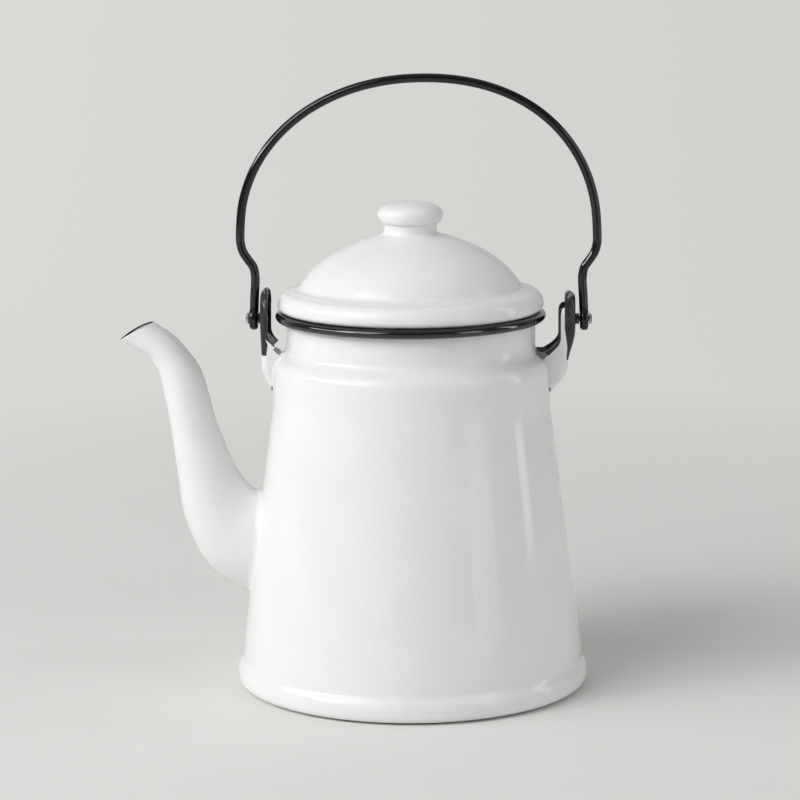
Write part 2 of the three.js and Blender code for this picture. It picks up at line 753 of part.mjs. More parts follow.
const kettle = new THREE.Group();
kettle.name = "enamel_tea_kettle";
kettle.add(makeBody(), makePan(), ...makeSpout(), ...makeSides(), makeBail());

const lid = new THREE.Group();
lid.name = "lid";
lid.add(...makeLid());
kettle.add(lid);

export default kettle;
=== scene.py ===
"""Looks of an enamel tea kettle.

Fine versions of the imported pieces, their enamel and steel, the studio and the camera.
"""
from collections import namedtuple
from functools import partial
from math import asin, cos, hypot, pi, sin

import bmesh
import bpy
from mathutils import Matrix, Vector
from mathutils.kdtree import KDTree


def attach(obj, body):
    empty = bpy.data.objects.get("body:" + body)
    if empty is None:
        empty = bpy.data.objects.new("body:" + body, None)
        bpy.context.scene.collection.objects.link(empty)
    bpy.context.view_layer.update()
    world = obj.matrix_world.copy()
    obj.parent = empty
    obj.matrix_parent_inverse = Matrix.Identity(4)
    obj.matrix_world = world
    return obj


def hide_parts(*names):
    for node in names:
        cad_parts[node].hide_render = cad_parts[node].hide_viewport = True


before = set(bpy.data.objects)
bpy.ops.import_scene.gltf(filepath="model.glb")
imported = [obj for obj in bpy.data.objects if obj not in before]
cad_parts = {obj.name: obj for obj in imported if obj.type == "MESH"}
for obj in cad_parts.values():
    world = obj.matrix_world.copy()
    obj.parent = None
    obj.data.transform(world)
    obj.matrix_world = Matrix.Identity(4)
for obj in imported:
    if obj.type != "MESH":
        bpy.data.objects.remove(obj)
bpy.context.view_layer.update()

MM = 0.001
DEGREE = pi / 180
HALF_TURN = pi
TURN = 2 * pi

# Sizes of the kettle in millimetres, as in the solids
SHEET = 1.1
FOOT_RADIUS = 73.9
FOOT_STRAIGHT = 9
FOOT_CURVE_HEIGHT = 31
FOOT_CURVE_WIDTH = 2
CONE_START_RADIUS = FOOT_RADIUS - FOOT_CURVE_WIDTH
CONE_TAPER = 11.7
CONE_HEIGHT = 88
CONE_TOP_RADIUS = CONE_START_RADIUS - CONE_TAPER
BAND_TUCK = 0.45
SHOULDER_RADIUS = CONE_TOP_RADIUS - BAND_TUCK
NECK_RADIUS = SHOULDER_RADIUS - 6.25
CONE_TOP = FOOT_CURVE_HEIGHT + CONE_HEIGHT
BAND_BOTTOM = CONE_TOP + 11
BAND_TOP = BAND_BOTTOM + 7.5
BAND_TURN = 0.58
NECK_BOTTOM = BAND_TOP + 12
RIM_MIDDLE = NECK_BOTTOM + 11.7
RIM_ROLL_WIDTH = 5.7
RIM_ROLL_HEIGHT = 4.2
RIM_ROLL_END = 110 * DEGREE
RIM_ROLL_MIDDLE = NECK_RADIUS - SHEET + RIM_ROLL_WIDTH / 2
RIM_RADIUS = RIM_ROLL_MIDDLE + RIM_ROLL_WIDTH / 2
RIM_TOP = RIM_MIDDLE + RIM_ROLL_HEIGHT / 2
SEAT_GAP = 0.3

PAN_SHEET = 1
PAN_FLAT_EDGE = 3.4
BEAD_LIFT = 0.8
WALL_FOOT = PAN_SHEET + BEAD_LIFT + SEAT_GAP
BEAD_PROUD = 2.3
BEAD_MIDDLE = 4.4
BEAD_FULL = 5.6
BEAD_PULL = 9.7
BEAD_END = 13.2
BEAD_SUNK = 0.12

LID_SHEET = 1
BRIM_ROLL = 2.6
BRIM_ROLL_END = 100 * DEGREE
BRIM_UNDERSIDE = RIM_TOP + SEAT_GAP
BRIM_TOP = BRIM_UNDERSIDE + 9.55
BRIM_FALL = 1.2
BRIM_SHOULDER = 3.9
BRIM_RADIUS = RIM_RADIUS - 1
DOME_RADIUS = BRIM_RADIUS - 10.4
DOME_HEIGHT = 25.1
DOME_FOOT_RISE = 2
DOME_FOOT_FILLET = 3.4
DOME_UPPER_PULL = (0.468, 0.92)
DOME_LOWER_PULL = (0.862, 0.535)
COLLAR_SHEET = 0.8
COLLAR_GAP = 0.7
COLLAR_DROP = 12
COLLAR_WIDTH = 3.2

KNOB_SHEET = 0.9
STEM_RADIUS = 11.4
STEM_HEIGHT = 4.45
STEM_FLARE = 1.1
STEM_TUCK = 1.4
KNOB_RADIUS = 14.1
KNOB_HEIGHT = 9.3
KNOB_WIDEST = 0.41
KNOB_TURN = 0.62
FOOT_SPREAD = 0.9
FOOT_SUNK = 0.06
FOLD_WIDTH = 0.7
FOLD_DROP = 0.8
FOLD_SUNK = 0.03

SPOUT_REACH = 126.1
SPOUT_TIP = 150
SPOUT_ROOT_LOW = 40.2
SPOUT_ROOT_HIGH = 83.6
MOUTH_LENGTH = 17.1
MOUTH_TILT = 27.6 * DEGREE
MOUTH_HALF_WIDTH = 8.5
ROOT_HALF_WIDTH = 18
WIDTH_FALL = 1.3
SPOUT_INSET = 16
SPOUT_LENGTH = 150
PASSAGE_END = 0.3
SPOUT_FOOT_PLACE = 0.5
LIP_HEIGHT = 0.15
LOWER_OUTLINE = (
    (0.321, 0.094), (0.505, 0.28), (0.569, 0.49), (0.61, 0.652),
    (0.662, 0.801), (0.709, 0.889), (0.803, 0.944),
)
UPPER_OUTLINE = (
    (0.121, 0.036), (0.23, 0.12), (0.332, 0.256), (0.432, 0.421),
    (0.551, 0.696), (0.668, 0.816), (0.816, 0.921),
)

HINGE_OFFSET = 3.4
PIVOT = RIM_MIDDLE - 1.6
BAIL_INSET = 0.08
EAR_TOP_RADIUS = 10.5
EAR_FOOT_RADIUS = 6.5
EAR_BELOW = 33
EAR_TICK_BELOW = 30
EAR_CORNER = 3.2
EAR_TURN_BELOW = 20.5
EAR_ROOT_PROUD = 0.8
EAR_LEAN_START = 3.6
EAR_LEAN_END = 20
FLANGE_ABOVE = 6
FLANGE_ROUNDING = 3.0
EDGE_TRIM = 1.1
WEB_ABOVE = 1.5
SWEEP_HEIGHT = 6.7
SWEEP_INSET = 2.9
PIN_RADIUS = 1.6
PIN_PLAY = 0.3
PIN_SHOULDER_RADIUS = 2.3
PIN_HEAD_RADIUS = 3.2
PIN_HEAD_HEIGHT = 1.2
PIN_EDGE = 0.15
TENON_RADIUS = 1.2
PEEN_RADIUS = 1.8
PEEN_HEIGHT = 0.35
BURR_RADIUS = 2.4
BURR_THICKNESS = 0.8
BURR_EDGE = 0.18
# Half width of the painted highlight on a washer's edge
GLINT_HALF = 0.19
ROD_RADIUS = 2
EYE_RADIUS = 5
EYE_THICKNESS = 3.7
EYE_ROUNDING = 1.7
BAIL_FOOT = 71
BAIL_SPREAD = 76.4
LEG_LEAN = 0.8
BAIL_HEIGHT = 103
BAIL_WIDEST = 36.6
BAIL_STRAIGHT = 18.2
KINK_HEIGHT = 14.4
BAIL_SKEW = 3
ARCH_POWER = 2.12
KINK_SHARES = ((0.13, 0.28), (0.5, 0.51), (0.85, 0.75))

# Of an ear, black_to, patch and notches are places along and across its webs: the depth behind
# its face plus and minus the height below the pivot
Ear = namedtuple(
    "Ear",
    "name side above flange web sweep_below lean shoulder tongue trim_low black_to patch notches",
)
LEFT_EAR = Ear(
    name="left", side=-1, above=13.6, flange=3.5, web=3.3, sweep_below=5.2, lean=0.3,
    shoulder=1.1, tongue=((1.0, 4.8), (8.0, 3.6), (15.2, 2.4)), trim_low=4.0,
    black_to=(17.1, -5.3), patch=(17.9, 23.0, -6.9, -3.8),
    notches=((17.4, -9.5, False), (17.6, -3.7, True)),
)
RIGHT_EAR = Ear(
    name="right", side=1, above=12.2, flange=4.6, web=7.3, sweep_below=6.9, lean=3.2,
    shoulder=1.6, tongue=((3.0, 4.6), (11.0, 2.0), (17.0, 1.2)), trim_low=3.0,
    black_to=(26.5, -3.4), patch=(26.5, 31.0, -3.0, 3.0), notches=(),
)

# Drawn over the solids: the fillet at the spout's foot, its lip, and what enamel closes
FILLET = 3.2
SUNK = 0.35
LIP_RISE = 0.7
LIP_RISE_FROM = 0.9
LIP_PAINT = 0.9
LIP_SHEET = 0.65
LIP_THIN_FROM = 0.95
SHEET_END_DEPTH = 0.5
EAR_ROUND = 0.3
TICK_BLEND = 0.3

# Fineness of the meshes
SEGMENTS = 160
KNOB_SEGMENTS = 96
EYE_SEGMENTS = 48
PIN_SEGMENTS = 40
HOLE_SEGMENTS = 32
SPOUT_COLUMNS = 96
SPOUT_STEPS = 90
FILLET_STEPS = 8
LIP_STEPS = 6
PASSAGE_STEPS = 12
CORNER_STEPS = 8
SHEET_END_STEPS = 4
ROD_STEPS = 260
ROD_SIDES = 28
HALVINGS = 30
SMOOTH_ANGLE = 38 * DEGREE
SOFT_ANGLE = 50 * DEGREE
BAIL_ANGLE = 35 * DEGREE
BEVEL_ANGLE = 40 * DEGREE

# How far cutting tools run past a piece, and what counts as on the axis or as one point
OVERRUN = 4
EAR_REACH = EAR_TOP_RADIUS + OVERRUN
NOTCH_SIZE = 30
ON_AXIS = 1e-9
WELD = 1e-6


# Plane curves
def mix(a, b, t):
    return tuple(p + (q - p) * t for p, q in zip(a, b))


def bend(a, corner, b, steps):
    """Quadratic curve from a to b, without its first point."""
    shares = [i / steps for i in range(1, steps + 1)]
    return [mix(mix(a, corner, t), mix(corner, b, t), t) for t in shares]


def sweep(a, pull, end_pull, b, steps):
    """Cubic curve from a to b, without its first point."""
    points = []
    for i in range(1, steps + 1):
        t = i / steps
        p, q, r = mix(a, pull, t), mix(pull, end_pull, t), mix(end_pull, b, t)
        points.append(mix(mix(p, q, t), mix(q, r, t), t))
    return points


def arc(centre, radius, start, end, steps):
    """Arc without its first point."""
    angles = [start + (end - start) * i / steps for i in range(1, steps + 1)]
    return [(centre[0] + radius * cos(a), centre[1] + radius * sin(a)) for a in angles]


def line(a, b, steps):
    return [mix(a, b, i / steps) for i in range(1, steps + 1)]


class Drawn(list):
    """Points of a line that each call draws on."""

    def bend(self, corner, end, steps):
        self.extend(bend(self[-1], corner, end, steps))

    def sweep(self, pull, end_pull, end, steps):
        self.extend(sweep(self[-1], pull, end_pull, end, steps))

    def line(self, end, steps):
        self.extend(line(self[-1], end, steps))


def offset_line(points, distance):
    """The line moved to its left by an even distance."""
    vectors = [Vector(p) for p in points]
    steps = [(b - a).normalized() for a, b in zip(vectors, vectors[1:])]
    moved = []
    for point, before, after in zip(vectors, [steps[0], *steps], [*steps, steps[-1]]):
        along = (before + after).normalized()
        spot = point + Vector((-along.y, along.x)) * (distance / along.dot(before))
        moved.append((spot.x, spot.y))
    return moved


def sheet_outline(middle, thickness):
    """Closed outline of a sheet round its middle line, with its free ends rounded over."""
    right = offset_line(middle, -thickness / 2)
    left = offset_line(middle, thickness / 2)[::-1]
    on_axis = abs(middle[0][0]) < ON_AXIS
    if on_axis:
        right[0] = (0, right[0][1])
        left[-1] = (0, left[-1][1])
    outline = [*right, *end_round(right[-1], left[0]), *left]
    if not on_axis:
        outline += [*end_round(left[-1], right[0]), right[0]]
    return outline


def end_round(a, b):
    """A flat half round from a to b, as enamel gives it to the cut edge of a sheet."""
    a, b = Vector(a), Vector(b)
    middle, half = (a + b) / 2, (a - b) / 2
    out = Vector((half.y, -half.x)) * SHEET_END_DEPTH
    points = []
    for i in range(1, SHEET_END_STEPS):
        angle = HALF_TURN * i / SHEET_END_STEPS
        spot = middle + half * cos(angle) + out * sin(angle)
        points.append((spot.x, spot.y))
    return points


def height_at(points, radius):
    a, b = next((a, b) for a, b in zip(points, points[1:]) if b[0] >= radius)
    return a[1] + (radius - a[0]) / (b[0] - a[0]) * (b[1] - a[1])


# Meshes
def add_object(name, data):
    made = bpy.data.objects.new(name, data)
    bpy.context.scene.collection.objects.link(made)
    return made


def new_object(name, vertices, faces):
    mesh = bpy.data.meshes.new(name)
    mesh.from_pydata([Vector(v) * MM for v in vertices], [], faces)
    mesh.validate()
    made = add_object(name, mesh)
    smooth(made, SMOOTH_ANGLE)
    return made


def smooth(made, angle):
    """Smooth shading that keeps edges sharper than the angle."""
    work = bmesh.new()
    work.from_mesh(made.data)
    bmesh.ops.recalc_face_normals(work, faces=work.faces)
    for face in work.faces:
        face.smooth = True
    for edge in work.edges:
        edge.smooth = len(edge.link_faces) == 2 and edge.calc_face_angle(0) < angle
    work.to_mesh(made.data)
    work.free()


def revolve(name, outline, segments=SEGMENTS, along_x=False):
    """A closed outline of radius and height turned about Z, or about X with its height along X."""
    closed = outline[0] == outline[-1] and outline[0][0] > 0
    points = outline[:-1] if closed else outline
    vertices, rings = [], []
    for radius, height in points:
        count = segments if radius > ON_AXIS else 1
        rings.append(range(len(vertices), len(vertices) + count))
        for i in range(count):
            angle = TURN * i / segments
            a, b = radius * cos(angle), radius * sin(angle)
            vertices.append((height, a, b) if along_x else (a, b, height))
    pairs = list(zip(rings, rings[1:]))
    if closed:
        pairs.append((rings[-1], rings[0]))
    faces = []
    for low, high in pairs:
        for i in range(segments):
            j = (i + 1) % segments
            if len(low) == 1:
                faces.append((low[0], high[j], high[i]))
            elif len(high) == 1:
                faces.append((low[i], low[j], high[0]))
            else:
                faces.append((low[i], low[j], high[j], high[i]))
    return new_object(name, vertices, faces)


def side_faces(count, total, steps):
    """Faces from each ring of count points to the next one; after the last comes the first."""
    faces = []
    for k in range(steps):
        low, high = k * count, (k + 1) % total * count
        for i in range(count):
            j = (i + 1) % count
            faces.append((low + i, low + j, high + j, high + i))
    return faces


def loft(name, rings, capped=True):
    """Skin over rings of one count, capped at both ends or led back to the first ring."""
    count, total = len(rings[0]), len(rings)
    faces = side_faces(count, total, total - 1 if capped else total)
    if capped:
        last = (total - 1) * count
        faces += [tuple(range(count)), tuple(range(last + count - 1, last - 1, -1))]
    return new_object(name, [p for ring in rings for p in ring], faces)


def cut(target, tool, operation="DIFFERENCE"):
    """Boolean of two objects, applied; the tool is removed. Cut faces take the tool's material."""
    modifier = target.modifiers.new("cut", "BOOLEAN")
    modifier.operation = operation
    modifier.solver = "EXACT"
    modifier.material_mode = "TRANSFER"
    modifier.object = tool
    apply_modifiers(target)
    remove(tool)


def remove(made):
    mesh = made.data
    bpy.data.objects.remove(made)
    bpy.data.meshes.remove(mesh)


def apply_modifiers(target):
    graph = bpy.context.evaluated_depsgraph_get()
    made = bpy.data.meshes.new_from_object(target.evaluated_get(graph))
    old = target.data
    name = old.name
    target.modifiers.clear()
    target.data = made
    bpy.data.meshes.remove(old)
    made.name = name


def round_edges(target):
    """Small round on every sharp edge of an ear."""
    modifier = target.modifiers.new("round", "BEVEL")
    modifier.width = EAR_ROUND * MM
    modifier.segments = 2
    modifier.limit_method = "ANGLE"
    modifier.angle_limit = BEVEL_ANGLE
    modifier.harden_normals = False
    apply_modifiers(target)
    smooth(target, SOFT_ANGLE)


def spline_point(points, place, centripetal=False):
    """Catmull-Rom point at a real place, counted in spans."""
    i = min(int(place), len(points) - 2)
    t = place - i
    p1, p2 = points[i], points[i + 1]
    p0 = points[i - 1] if i else p1 * 2 - p2
    p3 = points[i + 2] if i + 2 < len(points) else p2 * 2 - p1
    if centripetal:
        pairs = ((p0, p1), (p1, p2), (p2, p3))
        d1, d2, d3 = ((b - a).length_squared ** 0.25 for a, b in pairs)
        m1 = ((p1 - p0) / d1 - (p2 - p0) / (d1 + d2) + (p2 - p1) / d2) * d2
        m2 = ((p2 - p1) / d2 - (p3 - p1) / (d2 + d3) + (p3 - p2) / d3) * d2
    else:
        m1, m2 = (p2 - p0) / 2, (p3 - p1) / 2
    c2 = p1 * -3 + p2 * 3 - m1 * 2 - m2
    c3 = p1 * 2 - p2 * 2 + m1 + m2
    return p1 + m1 * t + c2 * t * t + c3 * t * t * t


def centripetal_spline(points, steps):
    """Spline evenly stepped by its own parameter."""
    points = [Vector(p) for p in points]
    spans = len(points) - 1
    return [spline_point(points, spans * k / steps, True) for k in range(steps + 1)]


def smooth_step(value, low, high):
    t = min(max((value - low) / (high - low), 0), 1)
    return t * t * (3 - 2 * t)


# Profiles
def wall_line():
    """Middle line of the wall, up to the rim's roll."""
    half = SHEET / 2
    foot, start, top = FOOT_RADIUS - half, CONE_START_RADIUS - half, CONE_TOP_RADIUS - half
    shoulder, neck = SHOULDER_RADIUS - half, NECK_RADIUS - half
    turn = (NECK_BOTTOM - BAND_TOP) * BAND_TURN
    meeting = FOOT_CURVE_HEIGHT - (FOOT_CURVE_WIDTH / CONE_TAPER) * CONE_HEIGHT
    tuck = CONE_TOP + (BAND_TUCK / CONE_TAPER) * CONE_HEIGHT
    points = Drawn([(foot, WALL_FOOT), (foot, FOOT_STRAIGHT)])
    points.bend((foot, meeting), (start, FOOT_CURVE_HEIGHT), steps=14)
    points.line((top, CONE_TOP), steps=8)
    points.bend((shoulder, tuck), (shoulder, BAND_BOTTOM), steps=8)
    points.line((shoulder, BAND_TOP), steps=2)
    pull, end_pull = (shoulder, BAND_TOP + turn), (neck, NECK_BOTTOM - turn)
    points.sweep(pull, end_pull, (neck, NECK_BOTTOM), steps=24)
    points.line((neck, RIM_MIDDLE), steps=3)
    return points


def body_outline():
    half_width, half_height = (RIM_ROLL_WIDTH - SHEET) / 2, (RIM_ROLL_HEIGHT - SHEET) / 2
    points = wall_line()
    for x, y in arc((0, 0), 1, HALF_TURN, -RIM_ROLL_END, steps=30):
        points.append((RIM_ROLL_MIDDLE + half_width * x, RIM_MIDDLE + half_height * y))
    return sheet_outline(points, SHEET)


def pan_outline():
    """The base pan with its bead; its upper edge runs out on the wall under the enamel."""
    half = PAN_SHEET / 2
    widest, level = FOOT_RADIUS + BEAD_PROUD - half, half + BEAD_LIFT
    edge = FOOT_RADIUS - BEAD_SUNK - half
    points = Drawn([(0, half), (FOOT_RADIUS - PAN_FLAT_EDGE, half), (FOOT_RADIUS - SHEET, level)])
    points.bend((widest, level), (widest, BEAD_MIDDLE), steps=14)
    points.line((widest, BEAD_FULL), steps=2)
    points.sweep((widest, BEAD_PULL), (edge, BEAD_PULL), (edge, BEAD_END), steps=24)
    return sheet_outline(points, PAN_SHEET)


def lid_line():
    """Middle line of the lid, from its top to the brim's roll."""
    half = LID_SHEET / 2
    top = BRIM_TOP - half
    upper = (DOME_RADIUS * DOME_UPPER_PULL[0], top + DOME_HEIGHT * DOME_UPPER_PULL[1])
    lower = (DOME_RADIUS * DOME_LOWER_PULL[0], top + DOME_HEIGHT * DOME_LOWER_PULL[1])
    foot = (DOME_RADIUS, top + DOME_FOOT_RISE)
    fillet = DOME_RADIUS + DOME_FOOT_RISE / (lower[1] - foot[1]) * (DOME_RADIUS - lower[0])
    turn_start, edge = BRIM_RADIUS - BRIM_SHOULDER, BRIM_RADIUS - half
    roll_middle = BRIM_UNDERSIDE + BRIM_ROLL
    points = Drawn([(0, top + DOME_HEIGHT)])
    points.sweep(upper, lower, foot, steps=48)
    points.bend((fillet, top), (DOME_RADIUS + DOME_FOOT_FILLET, top), steps=10)
    points.line((turn_start, top - BRIM_FALL), steps=3)
    slope = (edge - turn_start) / (turn_start - DOME_RADIUS) / 2
    pull = ((turn_start + edge) / 2, top - BRIM_FALL * (1 + slope))
    halfway = (top - BRIM_FALL + roll_middle) / 2
    points.sweep(pull, (edge, halfway), (edge, roll_middle), steps=18)
    roll = (BRIM_RADIUS - BRIM_ROLL, roll_middle)
    points += arc(roll, BRIM_ROLL - half, 0, -BRIM_ROLL_END, steps=14)
    return points


def collar_outline(lid):
    ring = NECK_RADIUS - SHEET - COLLAR_GAP - COLLAR_SHEET / 2
    seat = height_at(offset_line(lid, -LID_SHEET / 2), ring) - SEAT_GAP - COLLAR_SHEET / 2
    points = Drawn([(ring, RIM_TOP - COLLAR_DROP)])
    points.line((ring, seat - COLLAR_SHEET), steps=2)
    points.bend((ring, seat), (ring - COLLAR_SHEET, seat), steps=5)
    points.line((ring - COLLAR_WIDTH, seat), steps=2)
    return sheet_outline(points, COLLAR_SHEET)


def knob_outlines(lid):
    """Stem and cap; the enamel fills the seams at the dome and under the cap."""
    half = KNOB_SHEET / 2
    top_line = offset_line(lid, LID_SHEET / 2)
    foot = STEM_RADIUS + STEM_FLARE + FOOT_SPREAD
    foot_height = height_at(top_line, foot) - FOOT_SUNK
    dome = height_at(top_line, STEM_RADIUS)
    under = dome + STEM_HEIGHT
    stem = Drawn([(foot, foot_height)])
    stem.bend((STEM_RADIUS, dome), (STEM_RADIUS, dome + STEM_FLARE + FOOT_SPREAD), steps=12)
    stem.line((STEM_RADIUS, under + STEM_TUCK), steps=4)
    bore = STEM_RADIUS - KNOB_SHEET
    stem += [(bore, under + STEM_TUCK), (bore, foot_height - FOOT_SUNK), stem[0]]
    cap_top, widest = under + KNOB_HEIGHT - half, under + KNOB_HEIGHT * KNOB_WIDEST
    edge, lip, lip_height = KNOB_RADIUS - half, STEM_RADIUS - half + FOLD_SUNK, under + half
    cap = Drawn([(0, cap_top)])
    pull = (edge, widest + (cap_top - widest) * KNOB_TURN)
    cap.sweep((edge * KNOB_TURN, cap_top), pull, (edge, widest), steps=26)
    low_pull = (edge, widest - (widest - lip_height) * KNOB_TURN)
    lip_pull = (lip + (edge - lip) * KNOB_TURN, lip_height)
    cap.sweep(low_pull, lip_pull, (lip + FOLD_WIDTH, lip_height), steps=18)
    cap.bend((lip, lip_height), (lip, lip_height - FOLD_DROP), steps=6)
    return stem, sheet_outline(cap, KNOB_SHEET)


# Spout
def cone_radius(height):
    return CONE_START_RADIUS - (height - FOOT_CURVE_HEIGHT) / CONE_HEIGHT * CONE_TAPER


def spout_outlines():
    """Lower and upper outline in the middle plane, from inside the body to the mouth."""
    low_lip = (-SPOUT_REACH, SPOUT_TIP)
    high_lip = (
        low_lip[0] + MOUTH_LENGTH * cos(MOUTH_TILT),
        low_lip[1] + MOUTH_LENGTH * sin(MOUTH_TILT),
    )

    def outline(height, lip, shares):
        x = -cone_radius(height)
        between = [(x + (lip[0] - x) * a, height + (lip[1] - height) * b) for a, b in shares]
        return [Vector(p) for p in ((x + SPOUT_INSET, height), (x, height), *between, lip)]

    return (
        outline(SPOUT_ROOT_LOW, low_lip, LOWER_OUTLINE),
        outline(SPOUT_ROOT_HIGH, high_lip, UPPER_OUTLINE),
    )


LOWER_POINTS, UPPER_POINTS = spout_outlines()
SPOUT_SPANS = len(LOWER_POINTS) - 1
SPOUT_ANGLES = [TURN * i / SPOUT_COLUMNS for i in range(SPOUT_COLUMNS)]


def sheet_at(place):
    """The spout's sheet, drawn thinner towards its lip."""
    return SHEET + (LIP_SHEET - SHEET) * smooth_step(place, LIP_THIN_FROM, 1)


def spout_point(angle, place, inset, out=0.0):
    """Point of the skin: angle from the upper side, place 0 inside the body to 1 at the mouth."""
    low = spline_point(LOWER_POINTS, place * SPOUT_SPANS)
    high = spline_point(UPPER_POINTS, place * SPOUT_SPANS)
    along = min(max((place * SPOUT_SPANS - 1) / (SPOUT_SPANS - 1), 0), 1)
    widening = (ROOT_HALF_WIDTH - MOUTH_HALF_WIDTH) * (1 - along) ** WIDTH_FALL
    half_width = MOUTH_HALF_WIDTH + widening - inset
    chord = high - low
    half_chord = chord.length / 2 - inset
    chord.normalize()
    shift = out + LIP_RISE * smooth_step(along, LIP_RISE_FROM, 1) * sin(angle) ** 2
    middle = (low + high) / 2 + Vector((-chord.y, chord.x)) * shift
    up = cos(angle) * half_chord
    return Vector((middle.x + chord.x * up, sin(angle) * half_width, middle.y + chord.y * up))


def place_where(inside, low, high):
    """The place between low and high where inside(place) turns false."""
    for _ in range(HALVINGS):
        middle = (low + high) / 2
        if inside(middle):
            low = middle
        else:
            high = middle
    return low


def over_cone(point):
    return hypot(point.x, point.y) - cone_radius(point.z)


def on_cone(point, depth):
    scale = (cone_radius(point.z) - depth) / hypot(point.x, point.y)
    return Vector((point.x * scale, point.y * scale, point.z))


def coming_out(angle, inset, depth):
    """Place where the skin at an inset comes to a depth under the cone."""
    return place_where(
        lambda t: over_cone(spout_point(angle, t, inset)) < -depth, 0, SPOUT_FOOT_PLACE
    )


def fillet_column(angle, crossing, joint, away):
    """Points from the wall over the fillet on to the skin, and its end's place."""
    foot = on_cone(joint + away * FILLET, 0)
    end = place_where(
        lambda t: (spout_point(angle, t, 0) - joint).length < FILLET, crossing, SPOUT_FOOT_PLACE
    )
    curve = bend(foot, joint, spout_point(angle, end, 0), FILLET_STEPS)
    return [on_cone(foot, SUNK), foot, *(Vector(p) for p in curve)], end


def make_spout():
    """One skin from the fillet on the body, up the outside, over the lip and down the inside."""
    crossings = [coming_out(a, 0, 0) for a in SPOUT_ANGLES]
    joints = [spout_point(a, t, 0) for a, t in zip(SPOUT_ANGLES, crossings)]
    centre = sum(joints, Vector()) / len(joints)
    painted = 1 - LIP_PAINT / SPOUT_LENGTH
    columns = []
    for i, (angle, crossing, joint) in enumerate(zip(SPOUT_ANGLES, crossings, joints)):
        along = (joints[(i + 1) % SPOUT_COLUMNS] - joints[i - 1]).normalized()
        rise = hypot(joint.x, joint.y) * CONE_TAPER / CONE_HEIGHT
        normal = Vector((joint.x, joint.y, rise)).normalized()
        away = along.cross(normal).normalized()
        if away.dot(joint - centre) < 0:
            away.negate()
        column, start = fillet_column(angle, crossing, joint, away)
        for k in range(1, SPOUT_STEPS + 1):
            column.append(spout_point(angle, start + (1 - start) * k / SPOUT_STEPS, 0))
        for k in range(1, LIP_STEPS):
            turn = HALF_TURN * k / LIP_STEPS
            inset = LIP_SHEET / 2 * (1 - cos(turn))
            column.append(spout_point(angle, 1, inset, LIP_HEIGHT * sin(turn)))
        column.append(spout_point(angle, 1, LIP_SHEET))
        inner = coming_out(angle, SHEET, SHEET + SUNK)
        for k in range(SPOUT_STEPS + 1):
            place = painted + (inner - painted) * k / SPOUT_STEPS
            column.append(spout_point(angle, place, sheet_at(place)))
        columns.append(column)
    made = loft("kettle_spout", list(zip(*columns)), capped=False)
    lip = 1 + FILLET_STEPS + SPOUT_STEPS
    for face in made.data.polygons:
        past_lip = face.index // SPOUT_COLUMNS - lip
        face.material_index = (past_lip >= 1) + (past_lip > LIP_STEPS)
    return made


def spout_passage():
    """The hole that the spout's root fills in the wall."""
    places = [PASSAGE_END * k / PASSAGE_STEPS for k in range(PASSAGE_STEPS + 1)]
    return loft("passage", [[spout_point(a, t, SHEET / 2) for a in SPOUT_ANGLES] for t in places])


def body_tool():
    """All inside the wall, and all inside a gap round it at the feet of the ears."""
    outside = offset_line(wall_line(), -SHEET / 2)
    tick = PIVOT - EAR_TICK_BELOW
    moved = []
    for radius, z in outside:
        share = 1 - smooth_step(z, tick - TICK_BLEND, tick)
        moved.append((radius - SUNK + (SUNK + SEAT_GAP) * share, z))
    return revolve("body_tool", [(0, moved[0][1]), *moved, (0, moved[-1][1])])


# Ears
def face_of(ear):
    """Distance of the ear's flat face from the kettle's axis."""
    return BAIL_FOOT + ear.side * HINGE_OFFSET - EYE_THICKNESS / 2 - SEAT_GAP - ear.shoulder


def ear_set_back(ear, height):
    below = PIVOT - height
    turn = face_of(ear) - ear.lean - SHOULDER_RADIUS - EAR_ROOT_PROUD
    leaning = ear.lean * smooth_step(below, EAR_LEAN_START, EAR_LEAN_END)
    return leaning + turn * smooth_step(below, EAR_TURN_BELOW, EAR_BELOW)


def ear_ring(ear, inset, depth, back_x):
    """The ear's outline, at a depth behind its face or flat at back_x."""
    top_middle = PIVOT + ear.above - EAR_TOP_RADIUS
    foot_middle = PIVOT - EAR_BELOW + EAR_FOOT_RADIUS
    taper = asin((EAR_TOP_RADIUS - EAR_FOOT_RADIUS) / (top_middle - foot_middle))
    top_radius, foot_radius = EAR_TOP_RADIUS - inset, EAR_FOOT_RADIUS - inset

    def part(middle, radius, start, end, steps):
        angles = [start + (end - start) * i / steps for i in range(steps + 1)]
        return [(-radius * cos(a), middle + radius * sin(a)) for a in angles]

    half = part(top_middle, top_radius, HALF_TURN / 2, -taper, steps=20)
    foot = part(foot_middle, foot_radius, -taper, -HALF_TURN / 2, steps=12)
    half += line(half[-1], foot[0], steps=24)[:-1] + foot
    half[0] = (0, half[0][1])
    half[-1] = (0, half[-1][1])
    points = []
    for y, z in half + [(-y, z) for y, z in half[-2:0:-1]]:
        x = back_x if back_x is not None else face_of(ear) - depth - ear_set_back(ear, z)
        points.append((ear.side * x, y, z))
    return points


def ear_form(name, ear, inset, back_x):
    """The ear as a full block with a rounded edge."""
    corner = EAR_CORNER - inset
    rings = [ear_ring(ear, inset, 0, back_x)]
    for i in range(CORNER_STEPS + 1):
        angle = HALF_TURN / 2 * i / CORNER_STEPS
        further = inset + corner * (1 - cos(angle))
        rings.append(ear_ring(ear, further, inset + corner * (1 - sin(angle)), None))
    return loft_rows(name, rings)


